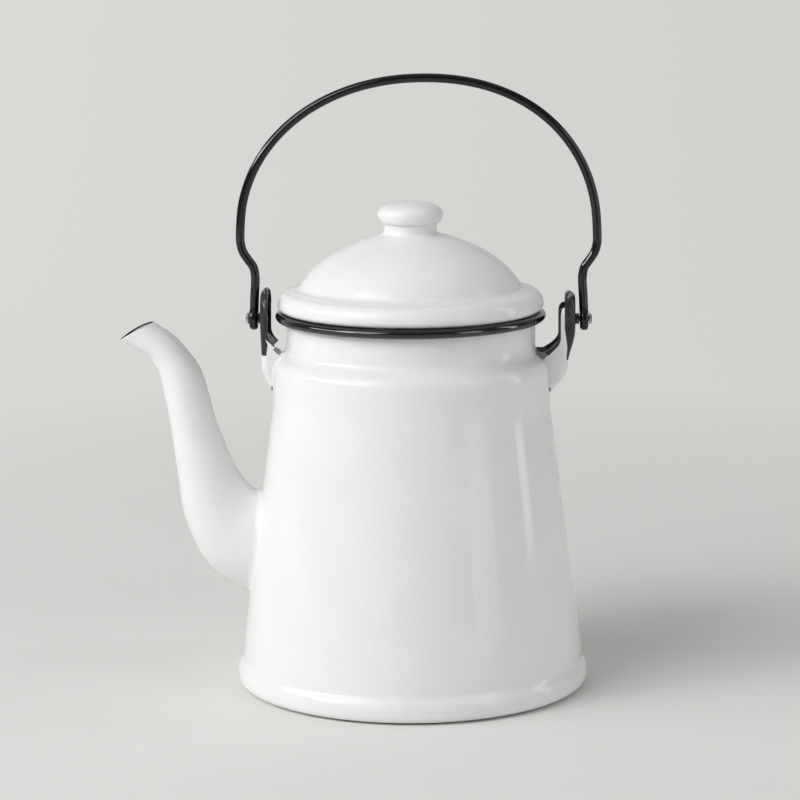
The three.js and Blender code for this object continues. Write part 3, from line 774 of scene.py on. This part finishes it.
def loft_rows(name, rings):
    """Skin over mirrored rings whose ends are closed by straight rows from side to side."""
    count, total = len(rings[0]), len(rings)
    half = count // 2
    faces = side_faces(count, total, total - 1)
    for first in (0, (total - 1) * count):
        rows = [(0, count - 1, 1)]
        rows += [(i - 1, count - i + 1, count - i, i) for i in range(2, half)]
        rows.append((half - 1, half + 1, half))
        faces += [tuple(first + i for i in row) for row in rows]
    return new_object(name, [p for ring in rings for p in ring], faces)


def ear_back(ear, back_x, trim=0, trim_low=0):
    """All behind the free edges of flange and webs, or a trim's width before them."""
    ear_top = PIVOT + ear.above
    top, back = ear_top + OVERRUN, back_x - OVERRUN
    flange_x, web_x = face_of(ear) - ear.flange + trim, face_of(ear) - ear.web + trim
    flange_start = flange_x + FLANGE_ROUNDING
    upper, level = PIVOT + FLANGE_ABOVE + trim, PIVOT + WEB_ABOVE
    sweep_top = PIVOT - ear.sweep_below
    root = sweep_top - SWEEP_HEIGHT - trim_low
    points = Drawn([(back, top), (flange_start, top), (flange_start, ear_top)])
    points.bend((flange_x, ear_top), (flange_x, ear_top - FLANGE_ROUNDING), steps=8)
    points.append((flange_x, upper))
    points.bend((web_x, upper), (web_x, level), steps=10)
    points.append((web_x, sweep_top))
    foot = (SHOULDER_RADIUS - SWEEP_INSET, root)
    points.bend((web_x, (sweep_top + root) / 2), foot, steps=12)
    points.append((back, root))
    ends = (-EAR_REACH, EAR_REACH)
    return loft("ear_back", [[(ear.side * x, y, z) for x, z in points] for y in ends])


def web_notch(ear, along, across, near):
    """Above the grey patch the free edge of one web steps down to the shoulder."""
    end, top = along + NOTCH_SIZE, across + NOTCH_SIZE
    corners = ((along, across), (end, across), (end, top), (along, top))
    outline = [(ear.side * (face_of(ear) - (a + b) / 2), PIVOT - (a - b) / 2) for a, b in corners]
    ends = (-EAR_REACH, 0) if near else (0, EAR_REACH)
    return loft("web_notch", [[(x, y, z) for x, z in outline] for y in ends])


def turn_on_pivot(name, outline, segments):
    """A piece turned about the line through both pins."""
    made = revolve(name, outline, segments, along_x=True)
    made.data.transform(Matrix.Translation((0, 0, PIVOT * MM)))
    return made


def hole_rod(radius, start, length, side):
    outline = [(0, start), (radius, start), (radius, start + length), (0, start + length)]
    return turn_on_pivot("hole", [(r, side * x) for r, x in outline], HOLE_SEGMENTS)


def make_ear(ear, outer, inner, edge):
    """A hollow scoop; its free edges are cut off and joined on in their own enamel."""
    back_x = NECK_RADIUS - EAR_TOP_RADIUS
    made = ear_form("kettle_ear_" + ear.name, ear, 0, back_x)
    made.data.materials.append(outer)
    hollow = ear_form("hollow", ear, SHEET, back_x - OVERRUN)
    hole = hole_rod(PIN_RADIUS + PIN_PLAY, face_of(ear) - OVERRUN, 2 * OVERRUN, ear.side)
    tools = [(hollow, inner), (ear_back(ear, back_x), inner), (body_tool(), outer), (hole, inner)]
    tools += [(web_notch(ear, *place), edge) for place in ear.notches]
    for tool, finish in tools:
        tool.data.materials.append(finish)
        cut(made, tool)
    round_edges(made)
    trim = add_object("trim", made.data.copy())
    for target, operation in ((trim, "INTERSECT"), (made, "DIFFERENCE")):
        cut(target, ear_back(ear, back_x, EDGE_TRIM, ear.trim_low), operation)
    join(made, trim, edge)
    smooth(made, SOFT_ANGLE)
    return made


def join(target, other, material):
    """Adds the other object's mesh in one material, without the walls between the two."""
    target.data.materials.append(material)
    work = bmesh.new()
    work.from_mesh(target.data)
    count = len(work.faces)
    work.from_mesh(other.data)
    faces = list(work.faces)
    centres = KDTree(count)
    for index, face in enumerate(faces[:count]):
        centres.insert(face.calc_center_median(), index)
    centres.balance()
    walls = []
    for face in faces[count:]:
        face.material_index = len(target.data.materials) - 1
        _, index, distance = centres.find(face.calc_center_median())
        if distance < WELD and face.normal.dot(faces[index].normal) < 0:
            walls += [face, faces[index]]
    bmesh.ops.delete(work, geom=list(dict.fromkeys(walls)), context="FACES")
    bmesh.ops.remove_doubles(work, verts=work.verts, dist=WELD)
    work.to_mesh(target.data)
    work.free()
    remove(other)


# Pins, washers and bail
def turn_on_ear(name, outline, ear):
    placed = [(r, ear.side * (face_of(ear) + x)) for r, x in outline]
    return turn_on_pivot(name, placed, PIN_SEGMENTS)


def pin_outline(shoulder):
    end = shoulder + SEAT_GAP + EYE_THICKNESS + SEAT_GAP + BURR_THICKNESS
    front, edge = -SHEET - SEAT_GAP, PIN_EDGE
    back = front - PIN_HEAD_HEIGHT
    points = Drawn([(0, back)])
    points.bend((PIN_HEAD_RADIUS, back), (PIN_HEAD_RADIUS, front), steps=10)
    points += [
        (PIN_RADIUS, front), (PIN_RADIUS, 0),
        (PIN_SHOULDER_RADIUS - edge, 0), (PIN_SHOULDER_RADIUS, edge),
        (PIN_SHOULDER_RADIUS, shoulder - edge), (PIN_SHOULDER_RADIUS - edge, shoulder),
        (TENON_RADIUS, shoulder), (TENON_RADIUS, end), (PEEN_RADIUS, end),
    ]
    points.bend((PEEN_RADIUS, end + PEEN_HEIGHT), (0, end + PEEN_HEIGHT), steps=10)
    return points


def burr_outline(shoulder):
    start = shoulder + SEAT_GAP + EYE_THICKNESS + SEAT_GAP
    bore, edge, end = TENON_RADIUS + SEAT_GAP, BURR_EDGE, start + BURR_THICKNESS
    return [
        (bore, start), (BURR_RADIUS - edge, start), (BURR_RADIUS, start + edge),
        (BURR_RADIUS, end - edge), (BURR_RADIUS - edge, end), (bore, end), (bore, start),
    ]


def bail_points():
    """The rod's middle line from eye to eye."""
    rise = BAIL_HEIGHT - BAIL_WIDEST

    def arch_x(height):
        share = abs(height - BAIL_WIDEST) / rise
        return BAIL_SPREAD * (1 - share ** ARCH_POWER) ** (1 / ARCH_POWER)

    kink_top = BAIL_STRAIGHT + KINK_HEIGHT
    kink_end = arch_x(kink_top)
    top = BAIL_FOOT - LEG_LEAN
    side = [(BAIL_FOOT, 0), ((BAIL_FOOT + top) / 2, BAIL_STRAIGHT / 2), (top, BAIL_STRAIGHT)]
    for a, b in KINK_SHARES:
        side.append((top + (kink_end - top) * a, BAIL_STRAIGHT + KINK_HEIGHT * b))
    side.append((kink_end, kink_top))
    arch_steps = 9
    for i in range(arch_steps):
        height = BAIL_WIDEST + rise * sin(HALF_TURN / 2 * i / arch_steps) ** (2 / ARCH_POWER)
        side.append((arch_x(height), height))
    both = [(-x, z) for x, z in side] + [(0, BAIL_HEIGHT)] + side[::-1]
    return [(x + BAIL_SKEW * (max(z - BAIL_WIDEST, 0) / rise) ** 2, z) for x, z in both]


def make_bail():
    path = centripetal_spline(bail_points(), ROD_STEPS)
    radius = ROD_RADIUS - BAIL_INSET
    rings = []
    for k, point in enumerate(path):
        ahead = path[min(k + 1, len(path) - 1)] - path[max(k - 1, 0)]
        ahead.normalize()
        out = Vector((-ahead.y, ahead.x))
        ring = []
        for i in range(ROD_SIDES):
            angle = TURN * i / ROD_SIDES
            aside = out * (radius * cos(angle))
            x, z = HINGE_OFFSET + point.x + aside.x, PIVOT + point.y + aside.y
            ring.append((x, radius * sin(angle), z))
        rings.append(ring)
    made = loft("bail", rings)
    half, flat = EYE_THICKNESS / 2, EYE_RADIUS - EYE_ROUNDING
    for side in (-1, 1):
        outline = Drawn([(0, -half), (flat, -half)])
        outline.bend((EYE_RADIUS, -half), (EYE_RADIUS, EYE_ROUNDING - half), steps=6)
        outline.line((EYE_RADIUS, half - EYE_ROUNDING), steps=1)
        outline.bend((EYE_RADIUS, half), (flat, half), steps=6)
        outline.append((0, half))
        placed = [(r, HINGE_OFFSET + side * BAIL_FOOT + x) for r, x in outline]
        cut(made, turn_on_pivot("eye", placed, EYE_SEGMENTS), "UNION")
    for side in (-1, 1):
        start = HINGE_OFFSET + side * BAIL_FOOT - EYE_THICKNESS
        cut(made, hole_rod(TENON_RADIUS + PIN_PLAY, start, 2 * EYE_THICKNESS, 1))
    smooth(made, BAIL_ANGLE)
    return made


# Materials: colours are linear; a cloud is a scale and the limits between its two colours
WHITE = (0.86, 0.862, 0.858)
WHITE_SHADE = (0.83, 0.834, 0.83)
WHITE_CLOUD = (38, 0.35, 0.7)
# Inside the spout: slightly green enamel, darkened as a painted shade
INSIDE_TINT_AND_SHADE = (0.60, 0.645, 0.615)
INSIDE_CLOUD = (60, 0.35, 0.7)
BLACK = (0.0025, 0.0025, 0.003)
BLACK_WORN = (0.007, 0.007, 0.0078)
# The ears' black is lighter than the other black: a painted reflection on their glossy enamel
EAR_SHEEN_BLACK = (0.028, 0.027, 0.029)
EAR_SHEEN_WORN = (0.055, 0.053, 0.056)
BLACK_CLOUD = (220, 0.4, 0.75)
# Grey for the painted reflection over the ear tops, and for the patches on the webs
GREY_EDGE = (0.22, 0.22, 0.217)
# A painted shade for the crease where the ears' feet meet the shoulder
CREASE_SHADE = (0.06, 0.06, 0.058)
STEEL_DEEP = (0.03, 0.035, 0.031)
STEEL_PALE = (0.12, 0.127, 0.12)
# A painted highlight on the washers' edges
STEEL_GLINT = (0.8, 0.82, 0.8)

# Noises are scale, detail and roughness; bumps are strength and distance
CLOUD_DETAIL = (4, 0.6)
GLOSS_NOISE = (60, 3, 0.5)
RIPPLE_NOISE = (95, 2, 0.4)
RIPPLE_BUMP = (0.10, 0.0005)
GRAIN_STRETCH = (4, 1, 1)
GRAIN_NOISE = (900, 4, 0.6)
GRAIN_BUMP = (0.15, 0.0002)
NOISE_LOW, NOISE_HIGH = 0.3, 0.7
WHITE_GLOSS = (0.07, 0.14)
BLACK_GLOSS = (0.05, 0.12)
STEEL_GLOSS = (0.22, 0.42)
WHITE_SPECULAR = 0.25
BLACK_SPECULAR = 0.5
RIM_SPECULAR = 0.8

# Where the paints end, in millimetres
EDGE_SOFTNESS = 0.12
RIM_FROM = 0.4
ROLL_PAINT_OUT = 0.2
ROLL_PAINT_UP = 5.1
LIP_PAINT_UP = 0.9
LIP_SOFTNESS = 0.3
# Where the painted reflection in grey lies over the ear tops
TOP_SHEEN_SLOPE = 0.45
TOP_SHEEN_HEIGHT = 1.0
TOP_SHEEN_SOFTNESS = 0.4
# Where the painted shade in the crease at the ears' feet lies
CREASE_SHADE_WIDTH = 0.55
CREASE_SHADE_SOFTNESS = 0.1
CREASE_SHADE_FROM = EAR_TICK_BELOW - 1
CREASE_SHADE_FROM_SOFTNESS = 0.5
# Softness of the washers' painted highlight
GLINT_SOFTNESS = 0.06


def is_socket(value):
    return isinstance(value, bpy.types.NodeSocket)


def feed(socket, value):
    """Links an output to the socket, or sets the socket's own value."""
    if is_socket(value):
        socket.id_data.links.new(value, socket)
    else:
        socket.default_value = value


def node(kind, inputs, **settings):
    """A new node fed with inputs, in the tree of the first output among them."""
    tree = next(filter(is_socket, inputs.values())).id_data
    made = tree.nodes.new("ShaderNode" + kind)
    for key, value in settings.items():
        setattr(made, key, value)
    for key, value in inputs.items():
        feed(made.inputs[key], value)
    return made


def plain_material(name):
    material = bpy.data.materials.new(name)
    material.use_nodes = True
    nodes = material.node_tree.nodes
    place = nodes.new("ShaderNodeTexCoord").outputs["Object"]
    return material, nodes["Principled BSDF"], place


def noise(place, *values):
    inputs = dict(zip(("Vector", "Scale", "Detail", "Roughness"), (place, *values)))
    return node("TexNoise", inputs).outputs["Fac"]


def span(value, low, high, start, end):
    """The value carried from low and high to start and end, and held there."""
    inputs = {"Value": value, "From Min": low, "From Max": high, "To Min": start, "To Max": end}
    return node("MapRange", inputs, clamp=True).outputs["Result"]


def over(value, limit, softness=EDGE_SOFTNESS):
    """1 where the value is over the limit, 0 where it is under it."""
    return span(value, limit - softness, limit + softness, 0, 1)


def under(value, limit, softness=EDGE_SOFTNESS):
    return span(value, limit - softness, limit + softness, 1, 0)


def blend_colour(share, first, second):
    a, b = (value if is_socket(value) else (*value, 1) for value in (first, second))
    return node("Mix", {"Factor": share, 6: a, 7: b}, data_type="RGBA").outputs[2]


def calc(operation, *values):
    return node("Math", dict(enumerate(values)), operation=operation).outputs[0]


def product(first, *others):
    for other in others:
        first = calc("MULTIPLY", first, other)
    return first


def split(place):
    return node("SeparateXYZ", {0: place}).outputs


def in_millimetres(place):
    return [product(part, 1 / MM) for part in split(place)]


def axis_distance(x, y):
    squares = [calc("POWER", value, 2) for value in (x, y)]
    return calc("SQRT", calc("ADD", *squares))


def surface(shader, grain, gloss, ripple, bump):
    """Roughness from one noise, and a bump from another."""
    feed(shader.inputs["Roughness"], span(grain, NOISE_LOW, NOISE_HIGH, *gloss))
    inputs = {"Height": ripple, "Strength": bump[0], "Distance": bump[1]}
    feed(shader.inputs["Normal"], node("Bump", inputs).outputs["Normal"])


def enamel(name, colour, gloss=WHITE_GLOSS, specular=WHITE_SPECULAR):
    """Enamel in the colour that colour(place) makes."""
    material, shader, place = plain_material(name)
    feed(shader.inputs["Base Color"], colour(place))
    shader.inputs["Specular IOR Level"].default_value = specular
    grain = noise(place, *GLOSS_NOISE)
    surface(shader, grain, gloss, noise(place, *RIPPLE_NOISE), RIPPLE_BUMP)
    return material


def clouded(cloud, first, second, place):
    scale, low, high = cloud
    share = span(noise(place, scale, *CLOUD_DETAIL), low, high, 0, 1)
    return blend_colour(share, first, second)


# Colours of the enamels; the one inside the spout is slightly green, and darker as a painted shade
white_colour = partial(clouded, WHITE_CLOUD, WHITE, WHITE_SHADE)
inside_tint_and_shade = partial(clouded, INSIDE_CLOUD, INSIDE_TINT_AND_SHADE, WHITE_SHADE)
black_colour = partial(clouded, BLACK_CLOUD, BLACK, BLACK_WORN)
# The ears' black, lightened as a painted reflection
sheened_ear_black = partial(clouded, BLACK_CLOUD, EAR_SHEEN_BLACK, EAR_SHEEN_WORN)


def body_colour(place):
    """White, with black on the outside of the roll and on the lip above its middle."""
    x, y, z = in_millimetres(place)
    outside = over(axis_distance(x, y), NECK_RADIUS + ROLL_PAINT_OUT)
    high = over(z, NECK_BOTTOM + ROLL_PAINT_UP)
    lip = over(z, RIM_MIDDLE + LIP_PAINT_UP, LIP_SOFTNESS)
    share = calc("MAXIMUM", product(outside, high), lip)
    return blend_colour(share, white_colour(place), black_colour(place))


def ear_place(ear, place):
    """Depth behind the ear's upright face, height below the pivot, distance from the axis."""
    x, y, z = in_millimetres(place)
    depth = calc("SUBTRACT", face_of(ear), product(x, ear.side))
    return depth, calc("SUBTRACT", PIVOT, z), axis_distance(x, y)


def ear_colour(ear, place):
    """Black down to a tongue below the pivot, white below it, a painted reflection in grey over the
    top and a painted shade at its foot.
    """
    depth, below, radius = ear_place(ear, place)
    (first, wide), (second, middle), (end, narrow) = ear.tongue
    leaning = span(below, EAR_LEAN_START, EAR_LEAN_END, 0, ear.lean)
    behind = calc("SUBTRACT", depth, leaning)
    upper = span(below, first, second, wide, middle)
    lower = span(below, second, end, 0, narrow - middle)
    inside = calc("SUBTRACT", calc("ADD", upper, lower), behind)
    share = product(over(inside, 0), under(below, end))
    colour = blend_colour(share, white_colour(place), sheened_ear_black(place))
    # A painted reflection in grey over the ear's top
    under_top = calc("ADD", below, ear.above)
    sheen_line = calc("SUBTRACT", product(behind, TOP_SHEEN_SLOPE), under_top)
    top_sheen = over(sheen_line, -TOP_SHEEN_HEIGHT, TOP_SHEEN_SOFTNESS)
    colour = blend_colour(top_sheen, colour, GREY_EDGE)
    # A painted shade in the crease where the ear's foot meets the shoulder
    crease_shade = under(radius, SHOULDER_RADIUS + CREASE_SHADE_WIDTH, CREASE_SHADE_SOFTNESS)
    crease_shade = product(crease_shade, over(below, CREASE_SHADE_FROM, CREASE_SHADE_FROM_SOFTNESS))
    return blend_colour(crease_shade, colour, CREASE_SHADE)


def edge_colour(ear, place):
    """Black on a web's free edge or inside, with a grey patch where it runs out on the shoulder."""
    depth, below, _ = ear_place(ear, place)
    along, across = calc("ADD", depth, below), calc("SUBTRACT", depth, below)
    ends_at, starts_at = ear.black_to
    black_share = product(under(along, ends_at), over(across, starts_at))
    start, end, low, high = ear.patch
    patch = product(over(along, start), under(along, end), over(across, low), under(across, high))
    colour = blend_colour(black_share, white_colour(place), sheened_ear_black(place))
    return blend_colour(patch, colour, GREY_EDGE)


def steel(name, glint=None):
    """Dark steel with fine turned grain, and a painted highlight where glint(place) is 1."""
    material, shader, place = plain_material(name)
    stretched = node("Mapping", {"Vector": place, "Scale": GRAIN_STRETCH}).outputs["Vector"]
    grain = noise(stretched, *GRAIN_NOISE)
    colour = blend_colour(grain, STEEL_DEEP, STEEL_PALE)
    if glint:
        colour = blend_colour(glint(place), colour, STEEL_GLINT)
    feed(shader.inputs["Base Color"], colour)
    shader.inputs["Metallic"].default_value = 1
    surface(shader, grain, STEEL_GLOSS, grain, GRAIN_BUMP)
    return material


def painted_glint(ear, place):
    """A painted highlight: the washer's edge is bright along its middle."""
    middle = face_of(ear) + ear.shoulder + 2 * SEAT_GAP + EYE_THICKNESS + BURR_THICKNESS / 2
    out = product(in_millimetres(place)[0], ear.side)
    away = calc("ABSOLUTE", calc("SUBTRACT", out, middle))
    return under(away, GLINT_HALF, GLINT_SOFTNESS)


# Pieces
def finish_piece(piece, material, body, slot, *nodes):
    """Dresses a piece, lets it ride on its body and stand for its nodes."""
    if material is not None:
        piece.data.materials.clear()
        piece.data.materials.append(material)
    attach(piece, body)
    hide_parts(*nodes)


white = enamel("white_enamel", white_colour)
black = enamel("black_enamel", black_colour, BLACK_GLOSS, BLACK_SPECULAR)
metal = steel("pin_steel")

body = revolve("kettle_body", body_outline())
body.data.materials.append(enamel("body_enamel", body_colour))
body.data.materials.append(enamel("rim_enamel", black_colour, BLACK_GLOSS, RIM_SPECULAR))
for face in body.data.polygons:
    centre = face.center / MM
    if centre.z > NECK_BOTTOM and hypot(centre.x, centre.y) > NECK_RADIUS + RIM_FROM:
        face.material_index = 1
passage = spout_passage()
passage.data.materials.append(white)
cut(body, passage)
smooth(body, SMOOTH_ANGLE)
finish_piece(body, None, "kettle", "white_enamel", "body_shell")

finish_piece(revolve("kettle_base", pan_outline()), white, "kettle", "white_enamel", "base_pan")

spout = make_spout()
for material in (white, black, enamel("spout_inside_tinted_shaded_enamel", inside_tint_and_shade)):
    spout.data.materials.append(material)
smooth(spout, SOFT_ANGLE)
finish_piece(spout, None, "kettle", "white_enamel", "spout_near_half", "spout_far_half")

for ear in (LEFT_EAR, RIGHT_EAR):
    outer = enamel("ear_enamel_" + ear.name, partial(ear_colour, ear))
    inner, edge = (
        enamel(name + ear.name, partial(edge_colour, ear)) for name in ("ear_inside_", "ear_edge_")
    )
    made = make_ear(ear, outer, inner, edge)
    finish_piece(made, None, "kettle", "white_enamel", "ear_" + ear.name)
    pin = turn_on_ear("kettle_pin_" + ear.name, pin_outline(ear.shoulder), ear)
    finish_piece(pin, metal, "kettle", "pin_steel", "pivot_pin_" + ear.name)
    burr = turn_on_ear("kettle_washer_" + ear.name, burr_outline(ear.shoulder), ear)
    washer_glint_steel = steel("washer_glint_steel_" + ear.name, partial(painted_glint, ear))
    finish_piece(burr, washer_glint_steel, "kettle", "pin_steel", "burr_washer_" + ear.name)

finish_piece(make_bail(), black, "bail", "black_enamel", "bail_rod")

lid_middle = lid_line()
stem_profile, cap_profile = knob_outlines(lid_middle)
for name, outline, segments, cad_node in (
    ("kettle_lid", sheet_outline(lid_middle, LID_SHEET), SEGMENTS, "lid_dome"),
    ("kettle_lid_collar", collar_outline(lid_middle), SEGMENTS, "lid_collar"),
    ("kettle_knob_stem", stem_profile, KNOB_SEGMENTS, "knob_stem"),
    ("kettle_knob_cap", cap_profile, KNOB_SEGMENTS, "knob_cap"),
):
    finish_piece(revolve(name, outline, segments), white, "lid", "white_enamel", cad_node)


# Studio, in metres and watts
FLOOR_DEEP = (0.785, 0.777, 0.763)
FLOOR_PALE = (0.81, 0.802, 0.788)
FLOOR_NOISE = (9, 5, 0.6)
FLOOR_ROUGHNESS = 0.95
FLOOR_SPECULAR = 0.1
FLOOR_REACH, FLOOR_BACK = 3.0, 1.7
SWEEP_RADIUS, SWEEP_STEPS, SWEEP_TOP = 0.5, 16, 1.6
FAR_FROM, FAR_TO = 0.22, 0.75
# The far backdrop's tone, with a painted shade on its right
FAR_LEFT = (0.70, 0.693, 0.677)
FAR_RIGHT = (0.63, 0.624, 0.609)
FAR_HALF, FAR_TURN = 0.4, 0.15
WORLD_COLOUR = (0.95, 0.94, 0.93, 1)
WORLD_STRENGTH = 0.185
TARGET = (0, 0, 0.12)


def far_colour(place, half):
    """The pale tone, a little darker on the right as a painted shade."""
    return blend_colour(span(split(place)[0], -half, half, 0, 1), FAR_LEFT, FAR_RIGHT)


def show_backdrop(output, shader, colour, share=None):
    """Lets camera rays alone see an even pale backdrop, all over or by a share."""
    even = node("Emission" if share else "Background", {"Color": colour}).outputs[0]
    seen = colour.id_data.nodes.new("ShaderNodeLightPath").outputs["Is Camera Ray"]
    share = product(seen, share) if share else seen
    mixed = node("MixShader", {0: share, 1: shader.outputs[0], 2: even})
    feed(output.inputs["Surface"], mixed.outputs[0])


def floor_material():
    """Pale paper round the object, even and pale to the camera far from it."""
    material, shader, place = plain_material("floor")
    cloud = noise(place, *FLOOR_NOISE)
    feed(shader.inputs["Base Color"], blend_colour(cloud, FLOOR_DEEP, FLOOR_PALE))
    shader.inputs["Roughness"].default_value = FLOOR_ROUGHNESS
    shader.inputs["Specular IOR Level"].default_value = FLOOR_SPECULAR
    length = node("VectorMath", {0: place}, operation="LENGTH").outputs["Value"]
    share = span(length, FAR_FROM, FAR_TO, 0, 1)
    colour = far_colour(place, FAR_HALF)
    show_backdrop(material.node_tree.nodes["Material Output"], shader, colour, share)
    return material


def sweep_backdrop():
    """A floor that rises behind the object in one curve."""
    middle = FLOOR_BACK - SWEEP_RADIUS
    curve = arc((middle, SWEEP_RADIUS), SWEEP_RADIUS, -HALF_TURN / 2, 0, SWEEP_STEPS)
    profile = [(-FLOOR_REACH, 0.0), (middle, 0.0), *curve, (FLOOR_BACK, SWEEP_TOP)]
    vertices = [(x, y, z) for y, z in profile for x in (-FLOOR_REACH, FLOOR_REACH)]
    mesh = bpy.data.meshes.new("floor")
    mesh.from_pydata(vertices, [], [
        (2 * i, 2 * i + 1, 2 * i + 3, 2 * i + 2) for i in range(len(profile) - 1)
    ])
    mesh.shade_smooth()
    mesh.materials.append(floor_material())
    return add_object("floor", mesh)


sweep_backdrop()


def area_light(name, place, width, height, power):
    data = bpy.data.lights.new(name, "AREA")
    data.shape = "RECTANGLE"
    data.size = width
    data.size_y = height
    data.energy = power
    lamp = add_object(name, data)
    lamp.location = place
    lamp.rotation_euler = (Vector(TARGET) - Vector(place)).to_track_quat("-Z", "Y").to_euler()


def round_place(azimuth, elevation, distance):
    """A place round the target: azimuth from the camera's side towards the right."""
    turn, rise = azimuth * DEGREE, elevation * DEGREE
    flat = distance * cos(rise)
    return (flat * sin(turn), -flat * cos(turn), TARGET[2] + distance * sin(rise))


for lamp in (
    ("key", round_place(-47, 37, 2.4), 1.5, 1.6, 31.5),
    ("pane", round_place(-72, 27, 2.1), 1.7, 0.3, 15.5),
    ("top", (0, 0.25, 1.6), 1.4, 1.4, 2.2),
    ("strip", round_place(98, 12, 1.3), 0.2, 1.4, 3.0),
    ("panel", round_place(55, 10, 1.3), 0.45, 1.3, 3.4),
):
    area_light(*lamp)

world = bpy.data.worlds.new("studio")
bpy.context.scene.world = world
world.use_nodes = True
sky = world.node_tree
background = sky.nodes["Background"]
background.inputs["Color"].default_value = WORLD_COLOUR
background.inputs["Strength"].default_value = WORLD_STRENGTH
direction = sky.nodes.new("ShaderNodeTexCoord").outputs["Generated"]
show_backdrop(sky.nodes["World Output"], background, far_colour(direction, FAR_TURN))

# Camera from the fit of the photo: place and turn in the kettle's own frame
LENS, SENSOR = 135, 36
PITCH, YAW, ROLL = 10.1 * DEGREE, 3 * DEGREE, -0.387 * DEGREE
AIM, DISTANCE = (-0.00483, 0, 0.124), 1.2954
lens = bpy.data.cameras.new("camera")
lens.lens = LENS
lens.sensor_width = SENSOR
camera = add_object("camera", lens)
yaw = Matrix.Rotation(YAW, 3, "Z")
turn = yaw @ Matrix.Rotation(HALF_TURN / 2 - PITCH, 3, "X") @ Matrix.Rotation(ROLL, 3, "Z")
camera.location = yaw @ Vector(AIM) - turn @ Vector((0, 0, -1)) * DISTANCE
camera.rotation_euler = turn.to_euler()
bpy.context.scene.camera = camera

bpy.context.scene.view_settings.view_transform = "Standard"
